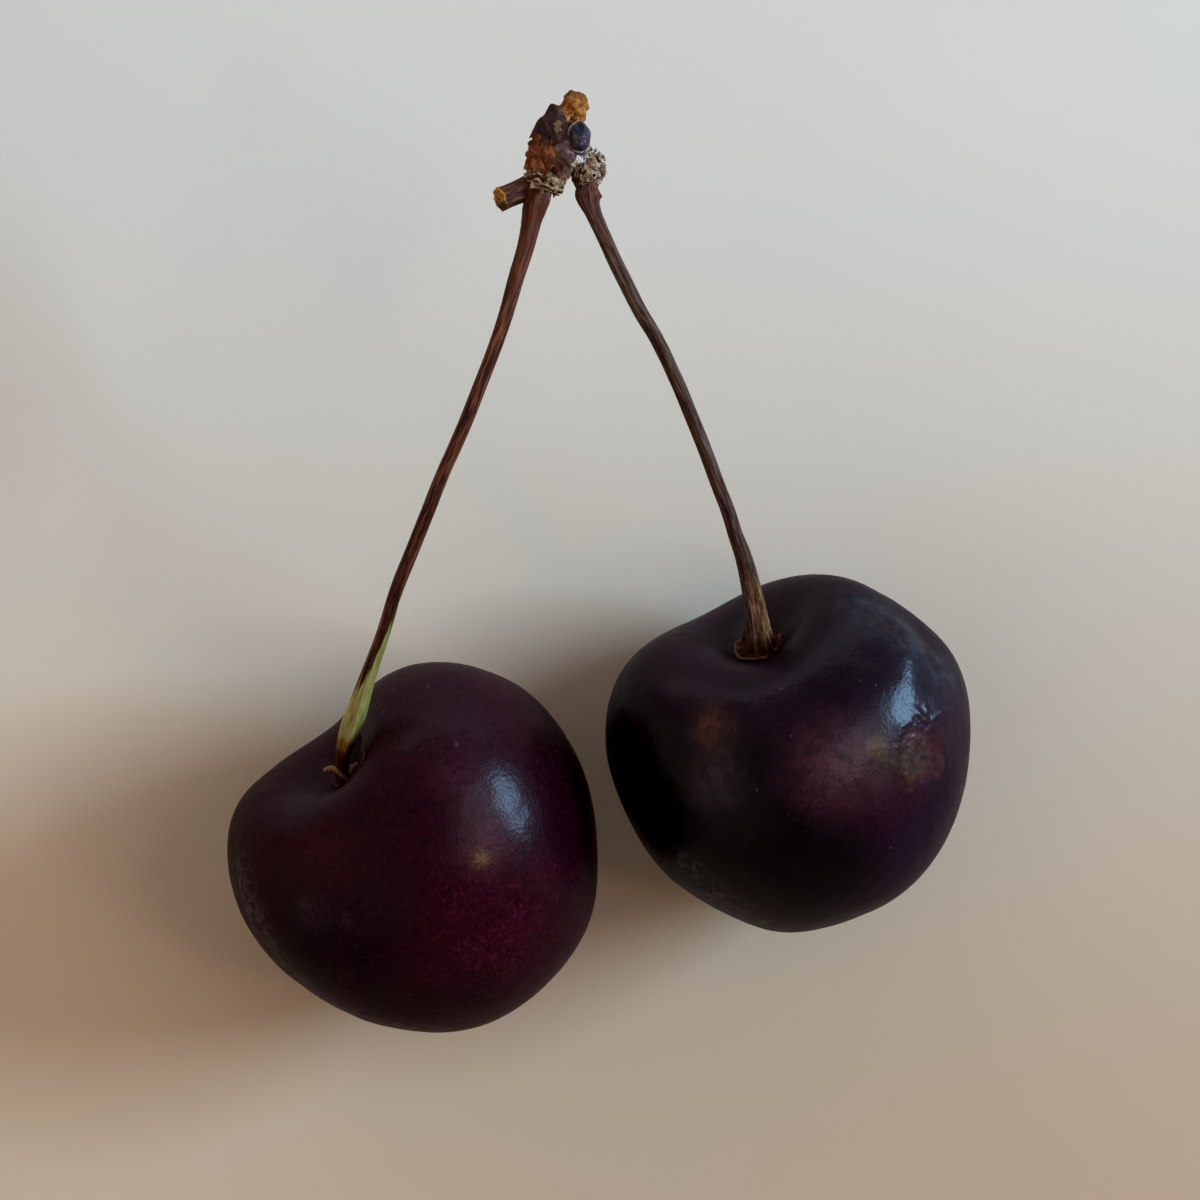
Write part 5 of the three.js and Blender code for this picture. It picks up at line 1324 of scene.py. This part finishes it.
def stalk_left_material():
    g = Nodes("stalk_fresh")
    flow = g.attr("flow", True)
    cx, cy, s = g.split(flow)
    streaks = g.noise(g.join(g.math("MULTIPLY", cx, 1.6), g.math("MULTIPLY", cy, 1.6), g.math("MULTIPLY", s, 0.20)), 1.6, 4.0, 0.64, 0.3)
    fine = g.noise(g.join(g.math("MULTIPLY", cx, 4.0), g.math("MULTIPLY", cy, 4.0), g.math("MULTIPLY", s, 0.50)), 1.6, 3.0, 0.64, 0.3)
    brown = g.ramp(g.math("ADD", g.math("MULTIPLY", streaks, 0.6), g.math("MULTIPLY", fine, 0.4)), [(0.40, (0.032, 0.0085, 0.0080)), (0.48, (0.100, 0.0260, 0.0150)), (0.56, (0.240, 0.0780, 0.0340)), (0.66, (0.340, 0.170, 0.100))])
    brown = g.mix(g.remap(s, 36.0, 44.5, 0.0, 0.55), brown, (0.160, 0.045, 0.024))
    grey = g.math("MULTIPLY", g.remap(fine, 0.52, 0.66), g.remap(s, 14.0, 24.0, 0.0, 0.30))
    brown = g.mix(grey, brown, (0.150, 0.105, 0.085))
    green = g.ramp(fine, [(0.30, (0.270, 0.225, 0.075)), (0.52, (0.470, 0.400, 0.165)), (0.72, (0.640, 0.580, 0.300))])
    green = g.mix(g.math("MULTIPLY", g.remap(cx, 0.10, 0.75), g.remap(streaks, 0.62, 0.40, 0.25, 0.9)), green, g.mix(fine, (0.120, 0.125, 0.022), (0.400, 0.390, 0.105)))
    # green shows low down, and runs up the right side to about 17 mm from the fruit
    reach = g.math("ADD", g.math("MULTIPLY", cx, 3.6), g.math("MULTIPLY", g.math("SUBTRACT", streaks, 0.5), 8.0))
    edge = g.math("SUBTRACT", g.math("ADD", reach, 12.4), s)
    m = g.remap(edge, -0.9, 0.9)
    thin = g.math("MULTIPLY", g.math("MULTIPLY", g.remap(cx, 0.55, 0.85), g.remap(s, 12.0, 19.5, 1.0, 0.0)), g.remap(streaks, 0.38, 0.52))
    m = g.math("MAXIMUM", m, g.math("MULTIPLY", thin, 0.9))
    brown = g.mix(g.math("MULTIPLY", g.remap(s, 14.0, 17.0), g.remap(s, 27.0, 22.0)), brown, g.mix(0.30, brown, (0.030, 0.012, 0.010)))
    color = g.mix(m, brown, green)
    color = g.mix(g.math("MULTIPLY", g.remap(cx, 0.35, 0.9), g.math("MULTIPLY", g.remap(s, 3.4, 4.8), g.remap(s, 7.0, 5.6, 0.0, 0.45))), color, (0.080, 0.105, 0.025))
    low = g.math("ADD", s, g.math("MULTIPLY", g.math("SUBTRACT", streaks, 0.5), 2.2))
    color = g.mix(g.remap(low, 5.2, 4.1, 0.0, 0.9), color, g.mix(g.remap(fine, 0.4, 0.6), (0.210, 0.085, 0.014), (0.420, 0.215, 0.055)))
    color = g.mix(g.math("MULTIPLY", g.remap(cx, 0.15, 0.55), g.remap(s, 4.7, 4.0)), color, (0.012, 0.0060, 0.0050))
    color = g.mix(g.remap(low, 3.9, 3.0, 0.0, 1.0), color, g.mix(g.remap(fine, 0.4, 0.6), (0.055, 0.014, 0.008), (0.190, 0.060, 0.028)))
    rough = g.remap(fine, 0.3, 0.7, 0.38, 0.58, False)
    n = g.bump(streaks, 0.045)
    n = g.bump(fine, 0.030, n)
    n = g.bump(g.noise(g.mm, 7.0, 2.0, 0.6), 0.008, n)
    return g.finish(color, rough, n, specular=0.20)


def stalk_right_material():
    g = Nodes("stalk_dried")
    flow = g.attr("flow", True)
    cx, cy, s = g.split(flow)
    streaks = g.noise(g.join(g.math("MULTIPLY", cx, 1.7), g.math("MULTIPLY", cy, 1.7), g.math("MULTIPLY", s, 0.22)), 1.7, 4.0, 0.66, 0.35)
    fine = g.noise(g.join(g.math("MULTIPLY", cx, 4.2), g.math("MULTIPLY", cy, 4.2), g.math("MULTIPLY", s, 0.55)), 1.6, 3.0, 0.68, 0.4)
    dark = g.ramp(g.math("ADD", g.math("MULTIPLY", streaks, 0.6), g.math("MULTIPLY", fine, 0.4)), [(0.38, (0.028, 0.0110, 0.0090)), (0.48, (0.110, 0.0420, 0.0270)), (0.60, (0.270, 0.150, 0.100))])
    silver = g.ramp(fine, [(0.35, (0.050, 0.033, 0.029)), (0.55, (0.150, 0.110, 0.094)), (0.75, (0.310, 0.255, 0.220))])
    m = g.math("MULTIPLY", g.remap(g.math("ADD", g.math("MULTIPLY", cx, 0.13), streaks), 0.50, 0.64), g.remap(fine, 0.35, 0.60, 0.35, 1.0))
    color = g.mix(g.math("MULTIPLY", m, 0.85), dark, silver)
    color = g.mix(g.remap(s, 31.5, 36.0, 0.0, 0.65), color, g.mix(g.remap(fine, 0.42, 0.60), (0.060, 0.015, 0.013), (0.280, 0.085, 0.050)))
    tan = g.ramp(fine, [(0.34, (0.065, 0.024, 0.013)), (0.50, (0.260, 0.125, 0.060)), (0.68, (0.560, 0.370, 0.215))])
    tan = g.mix(g.remap(cx, 0.10, -0.65, 0.0, 0.80), tan, g.mix(g.remap(fine, 0.36, 0.64), (0.038, 0.018, 0.018), (0.190, 0.130, 0.110)))
    low = g.math("ADD", s, g.math("MULTIPLY", g.math("SUBTRACT", streaks, 0.5), 5.0))
    color = g.mix(g.remap(low, 8.5, 5.5, 0.0, 0.9), color, tan)
    root = g.ramp(fine, [(0.35, (0.045, 0.017, 0.012)), (0.55, (0.140, 0.058, 0.036)), (0.75, (0.300, 0.160, 0.095))])
    color = g.mix(g.remap(low, 2.6, 1.2, 0.0, 1.0), color, root)
    rough = g.remap(fine, 0.3, 0.7, 0.42, 0.70, False)
    n = g.bump(streaks, 0.070)
    n = g.bump(fine, 0.050, n)
    n = g.bump(g.noise(g.mm, 7.0, 3.0, 0.6), 0.010, n)
    return g.finish(color, rough, n, specular=0.22)


def dry_material(name, dark, mid, pale, edge_color, edge_power=1.0, rough=(0.55, 0.85), specular=0.3, grain=3.2):
    """Dry papery tissue: tone from noise and each piece's rnd, a low rnd giving the darkest tone (painted shade on the
    cores under scales); dark flecks; paler at its edges.
    """
    g = Nodes(name)
    edge, rnd = g.attr("edge"), g.attr("rnd")
    n1, n2 = g.noise(g.mm, grain, 4.0, 0.62), g.noise(g.mm, grain * 3.1, 3.0, 0.6)
    tone = g.math("ADD", g.math("MULTIPLY", n1, 0.75), g.math("MULTIPLY", rnd, 0.30))
    color = g.ramp(tone, [(0.30, dark), (0.52, mid), (0.80, pale)])
    k = g.math("MULTIPLY", g.remap(g.math("ADD", edge, g.math("MULTIPLY", g.math("SUBTRACT", n1, 0.5), 0.5)), 0.55, 0.95), edge_power)
    color = g.mix(k, color, edge_color)
    color = g.mix(g.remap(n2, 0.58, 0.72, 0.0, 0.5), color, dark)
    n = g.bump(n1, 0.05)
    n = g.bump(n2, 0.025, n)
    return g.finish(color, g.remap(n2, 0.3, 0.7, rough[0], rough[1], False), n, specular=specular)


def wood_material():
    g = Nodes("spur_bark")
    torn, dark, edge, rnd, tan = g.attr("torn"), g.attr("dark"), g.attr("edge"), g.attr("rnd"), g.attr("tan")
    n1 = g.noise(g.vec("MULTIPLY", g.mm, (1.0, 0.6, 1.0)), 2.4, 4.0, 0.62)
    n2 = g.noise(g.mm, 8.5, 3.0, 0.6)
    tone = g.math("ADD", g.math("MULTIPLY", n1, 0.8), g.math("MULTIPLY", rnd, 0.25))
    bark = g.ramp(tone, [(0.32, (0.066, 0.0175, 0.0078)), (0.48, (0.240, 0.0730, 0.0225)), (0.62, (0.400, 0.1550, 0.0500)), (0.80, (0.470, 0.2700, 0.1350))])
    bark = g.mix(g.remap(g.math("ADD", edge, g.math("SUBTRACT", n1, 0.5)), 0.75, 1.1, 0.0, 0.35), bark, (0.330, 0.210, 0.130))
    block = g.ramp(n1, [(0.30, (0.028, 0.0112, 0.0106)), (0.52, (0.086, 0.0375, 0.0315)), (0.72, (0.190, 0.1000, 0.0720))])
    mess = g.math("MULTIPLY", g.math("SUBTRACT", g.noise(g.mm, 2.2, 4.0, 0.62), 0.5), 1.4)
    color = g.mix(g.remap(g.math("ADD", dark, g.math("MULTIPLY", mess, 0.55)), 0.34, 0.66), bark, block)
    spot_red = g.near(at(553, 161, 28.0), 0.1, 0.55)
    color = g.mix(g.math("MULTIPLY", spot_red, 0.8), color, (0.075, 0.016, 0.008))
    color = g.mix(g.remap(g.math("ADD", tan, g.math("MULTIPLY", mess, 0.5)), 0.25, 0.80, 0.0, 0.85), color, (0.330, 0.200, 0.110))
    fib = g.noise(g.vec("MULTIPLY", g.mm, (5.0, 0.8, 5.0)), 1.3, 3.0, 0.6)
    orange = g.ramp(g.math("ADD", g.math("MULTIPLY", g.noise(g.mm, 3.4, 4.0, 0.65), 0.8), g.math("MULTIPLY", rnd, 0.20)), [(0.32, (0.110, 0.0400, 0.0130)), (0.46, (0.360, 0.1400, 0.0330)), (0.64, (0.640, 0.3000, 0.0850))])
    orange = g.mix(g.remap(g.math("ADD", g.split(g.mm)[1], mess), 34.0, 34.9, 0.0, 0.65), orange, (0.140, 0.0620, 0.0290))
    color = g.mix(g.remap(g.math("ADD", torn, g.math("MULTIPLY", mess, 0.7)), 0.35, 0.65), color, orange)
    color = g.mix(g.remap(n2, 0.60, 0.74, 0.0, 0.55), color, (0.030, 0.0110, 0.0080))
    n = g.bump(n1, 0.08)
    n = g.bump(n2, 0.035, n)
    n = g.bump(fib, 0.03, n)
    return g.finish(color, g.remap(n2, 0.3, 0.7, 0.55, 0.85, False), n, specular=0.3)


def bud_material():
    g = Nodes("bud_scale")
    rnd = g.attr("rnd")
    n1, n2 = g.noise(g.mm, 2.6, 4.0, 0.6), g.noise(g.mm, 9.0, 3.0, 0.6)
    core = g.ramp(n1, [(0.30, (0.0360, 0.0155, 0.0280)), (0.52, (0.0840, 0.0440, 0.0640)), (0.72, (0.2200, 0.1400, 0.1580))])
    color = g.mix(g.near(at(579.8, 129.5, 28.6), 0.25, 0.66), core, g.mix(g.remap(n2, 0.4, 0.7), (0.0060, 0.0060, 0.0140), (0.0260, 0.0280, 0.0500)))
    # painted highlights: two curved blue-grey streaks over the bud
    for i, pts in enumerate((((572.5, 131.5), (575.5, 135.5), (579.5, 137.0), (583, 136)), ((577, 142), (581, 143.5), (585, 142)))):
        highlight_arc = g.math("MULTIPLY", g.along([at(u, v, 28.62 if i == 0 else 28.5) for u, v in pts], 0.21), g.remap(n2, 0.36, 0.56))
        color = g.mix(g.math("MULTIPLY", highlight_arc, 0.75), color, (0.2300, 0.2500, 0.3400))
    cream = g.ramp(n1, [(0.30, (0.200, 0.140, 0.110)), (0.52, (0.460, 0.380, 0.300)), (0.72, (0.680, 0.610, 0.530))])
    color = g.mix(g.remap(g.math("ADD", rnd, g.math("MULTIPLY", g.math("SUBTRACT", n1, 0.5), 0.8)), 0.35, 0.75), color, cream)
    n = g.bump(n1, 0.05)
    n = g.bump(n2, 0.02, n)
    return g.finish(color, g.remap(n1, 0.3, 0.7, 0.36, 0.60, False), n, specular=0.45)


def bract_material():
    g = Nodes("bract")
    edge, rnd = g.attr("edge"), g.attr("rnd")
    n1, n2 = g.noise(g.mm, 2.6, 4.0, 0.6), g.noise(g.vec("MULTIPLY", g.mm, (6.0, 2.0, 3.0)), 1.6, 3.0, 0.6)
    base = g.ramp(n1, [(0.30, (0.085, 0.0390, 0.0430)), (0.52, (0.230, 0.1250, 0.1280)), (0.72, (0.410, 0.2950, 0.2750))])
    base = g.mix(g.remap(rnd, 0.42, 0.62), base, (0.230, 0.130, 0.075))
    pale = g.mix(g.remap(n2, 0.4, 0.6), (0.480, 0.380, 0.280), (0.800, 0.740, 0.640))
    color = g.mix(g.remap(edge, 0.35, 0.85), base, pale)
    n = g.bump(n1, 0.05)
    n = g.bump(n2, 0.02, n)
    return g.finish(color, g.remap(n1, 0.3, 0.7, 0.42, 0.68, False), n, specular=0.4)


def stub_material():
    g = Nodes("stub_bark")
    torn, rnd = g.attr("torn"), g.attr("rnd")
    cx, cy, s = g.split(g.attr("flow", True))
    st = g.noise(g.join(g.math("MULTIPLY", cx, 2.0), g.math("MULTIPLY", cy, 2.0), g.math("MULTIPLY", s, 0.5)), 1.8, 4.0, 0.6)
    n2 = g.noise(g.mm, 8.0, 3.0, 0.6)
    bark = g.ramp(st, [(0.30, (0.034, 0.0092, 0.0060)), (0.50, (0.106, 0.0330, 0.0180)), (0.68, (0.240, 0.0980, 0.0500))])
    fib = g.ramp(g.math("ADD", g.math("MULTIPLY", n2, 0.8), g.math("MULTIPLY", rnd, 0.2)), [(0.30, (0.250, 0.0950, 0.0170)), (0.52, (0.610, 0.2850, 0.0580)), (0.75, (0.840, 0.5700, 0.1950))])
    fib = g.mix(g.remap(g.math("ADD", g.split(g.mm)[1], g.math("MULTIPLY", n2, 0.5)), 27.85, 27.35, 0.0, 0.85), fib, (0.060, 0.0240, 0.0140))
    color = g.mix(torn, bark, fib)
    n = g.bump(st, 0.05)
    n = g.bump(n2, 0.03, n)
    return g.finish(color, g.remap(n2, 0.3, 0.7, 0.5, 0.8, False), n, specular=0.35)


MATS = {
    skin_left: skin_left_material(), skin_right: skin_right_material(),
    stalk_l: stalk_left_material(), stalk_r: stalk_right_material(),
    calyx_l: dry_material("calyx_tan", (0.030, 0.0100, 0.0070), (0.130, 0.0520, 0.0260), (0.260, 0.1300, 0.0750), (0.400, 0.2300, 0.1500)),
    calyx_r: dry_material("calyx_brown", (0.030, 0.0085, 0.0065), (0.110, 0.0310, 0.0220), (0.240, 0.0950, 0.0620), (0.350, 0.1900, 0.1250), 0.55),
    spur: wood_material(), bud: bud_material(), bract: bract_material(),
    scales_l: dry_material("scales_tan", (0.068, 0.0250, 0.0140), (0.260, 0.1250, 0.0670), (0.480, 0.2950, 0.1750), (0.660, 0.4900, 0.3250), 0.75),
    scales_r: dry_material("scales_brown", (0.100, 0.0360, 0.0230), (0.370, 0.2100, 0.1400), (0.670, 0.4850, 0.3500), (0.860, 0.7650, 0.6300), 0.9),
    stub: stub_material(),
}
for ob, mat in MATS.items():
    ob.data.materials.append(mat)

for ob, node, slot in (
        (skin_left, "cherry_left", "skin_left"), (skin_right, "cherry_right", "skin_right"),
        (stalk_l, "stalk_left", "stalk_green"), (stalk_r, "stalk_right", "stalk_dry"),
        (calyx_l, "calyx_left", "calyx"), (calyx_r, "calyx_right", "calyx"),
        (spur, "spur_wood", "spur_wood"), (bud, "spur_bud", "bud"), (bract, "spur_bract", "bract"),
        (scales_l, "bud_scales_left", "scales"), (scales_r, "bud_scales_right", "scales"),
        (stub, "stalk_stub", "stub")):
    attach(ob, "root")
    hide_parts(node)

# ---- floor, light and camera --------------------------------------------------------------
me = bpy.data.meshes.new("floor")
h = 3.0
me.from_pydata([(-h, -h, 0), (h, -h, 0), (h, h, 0), (-h, h, 0)], [], [(0, 1, 2, 3)])
floor = bpy.data.objects.new("floor", me)
bpy.context.scene.collection.objects.link(floor)
g = Nodes("floor_pale")
n = g.noise(g.mm, 0.02, 3.0, 0.5)
# pale floor, painted darker and warmer towards the bottom and most at the lower right, as painted light falloff: lower
# left, lower right, upper left, upper right
FLOOR = ((0.764, 0.576, 0.416), (0.664, 0.478, 0.335), (0.838, 0.741, 0.651), (0.838, 0.738, 0.641))
fx, fy, _ = g.split(g.mm)
fx, fy = g.remap(fx, -46.0, 46.0, 0.0, 1.0), g.remap(fy, -46.0, 46.0, 0.0, 1.0)
fl_color = g.mix(fy, g.mix(fx, FLOOR[0], FLOOR[1]), g.mix(fx, FLOOR[2], FLOOR[3]))
fl_color = g.mix(g.remap(n, 0.35, 0.65, 0.0, 0.07), fl_color, (0.60, 0.58, 0.55))
floor.data.materials.append(g.finish(fl_color, g.remap(g.noise(g.mm, 0.4, 3.0), 0.3, 0.7, 0.48, 0.56, False), None, specular=0.3))


def area(name, azimuth, elevation, distance, width, height, power, color, spread=180.0, shape="RECTANGLE"):
    L = bpy.data.lights.new(name, "AREA")
    L.shape, L.size, L.size_y, L.energy, L.color = shape, width, height, power, color
    L.spread = math.radians(spread)
    ob = bpy.data.objects.new(name, L)
    bpy.context.scene.collection.objects.link(ob)
    d = Vector(direction(azimuth, elevation)) * distance
    ob.location = d
    ob.rotation_euler = (-d).to_track_quat("-Z", "Y").to_euler()
    return ob


area("window", 14, 30, 1.10, 0.430, 0.180, 9.0, (0.45, 0.74, 1.0))
area("sky", 92, 16, 0.50, 0.90, 0.22, 0.72, (0.86, 0.93, 1.0))
area("ceiling", 5, 58, 1.00, 0.60, 0.44, 1.15, (0.95, 0.93, 1.0), shape="ELLIPSE")
area("bounce", 196, 40, 1.40, 2.40, 1.60, 2.80, (0.97, 0.95, 0.93))
area("lamp", -16, 49, 0.80, 0.075, 0.110, 0.19, (1.0, 0.76, 0.50), shape="ELLIPSE")

# the room: dark overhead, paler towards the horizon, warmer towards the lower left
world = bpy.data.worlds.new("studio")
bpy.context.scene.world = world
world.use_nodes = True
wt = world.node_tree
wt.nodes.clear()
w_out, bg, w_tc = wt.nodes.new("ShaderNodeOutputWorld"), wt.nodes.new("ShaderNodeBackground"), wt.nodes.new("ShaderNodeTexCoord")
wt.links.new(bg.outputs[0], w_out.inputs[0])
w_sep = wt.nodes.new("ShaderNodeSeparateXYZ")
wt.links.new(w_tc.outputs["Generated"], w_sep.inputs[0])
w_lift = wt.nodes.new("ShaderNodeMapRange")
w_lift.interpolation_type = "SMOOTHSTEP"
wt.links.new(w_sep.outputs[2], w_lift.inputs[0])
for i, v in ((1, 0.05), (2, 0.80), (3, 0.29), (4, 0.19)):
    w_lift.inputs[i].default_value = v
wt.links.new(w_lift.outputs[0], bg.inputs[1])
w_dot = wt.nodes.new("ShaderNodeVectorMath")
w_dot.operation = "DOT_PRODUCT"
wt.links.new(w_tc.outputs["Generated"], w_dot.inputs[0])
w_dot.inputs[1].default_value = tuple(direction(62, 0))
w_mix = wt.nodes.new("ShaderNodeValToRGB")
w_side = wt.nodes.new("ShaderNodeMath")
w_side.operation = "MULTIPLY_ADD"
w_side.inputs[1].default_value, w_side.inputs[2].default_value = 0.5, 0.5
wt.links.new(w_dot.outputs["Value"], w_side.inputs[0])
wt.links.new(w_side.outputs[0], w_mix.inputs[0])
w_mix.color_ramp.elements[0].color, w_mix.color_ramp.elements[0].position = (1.0, 0.88, 0.75, 1.0), 0.35
w_mix.color_ramp.elements[1].color, w_mix.color_ramp.elements[1].position = (0.96, 0.97, 1.0, 1.0), 1.0
wt.links.new(w_mix.outputs[0], bg.inputs[0])

cam = bpy.data.objects.new("camera", bpy.data.cameras.new("camera"))
bpy.context.scene.collection.objects.link(cam)
cam.location = ((0.0 + SHIFT[0]) * 0.001, (0.0 + SHIFT[1]) * 0.001, EYE * 0.001)
cam.data.sensor_width = 36.0
cam.data.lens = 36.0 * FOCAL / 1200.0
cam.data.clip_start = 0.01
bpy.context.scene.camera = cam
view = bpy.context.scene.view_settings
view.view_transform = "Standard"
view.exposure = 0.50
view.gamma = 0.75
view.use_curve_mapping = True          # a little black is taken off, as a camera does
view.curve_mapping.black_level = (0.0040, 0.0040, 0.0040)
view.curve_mapping.update()
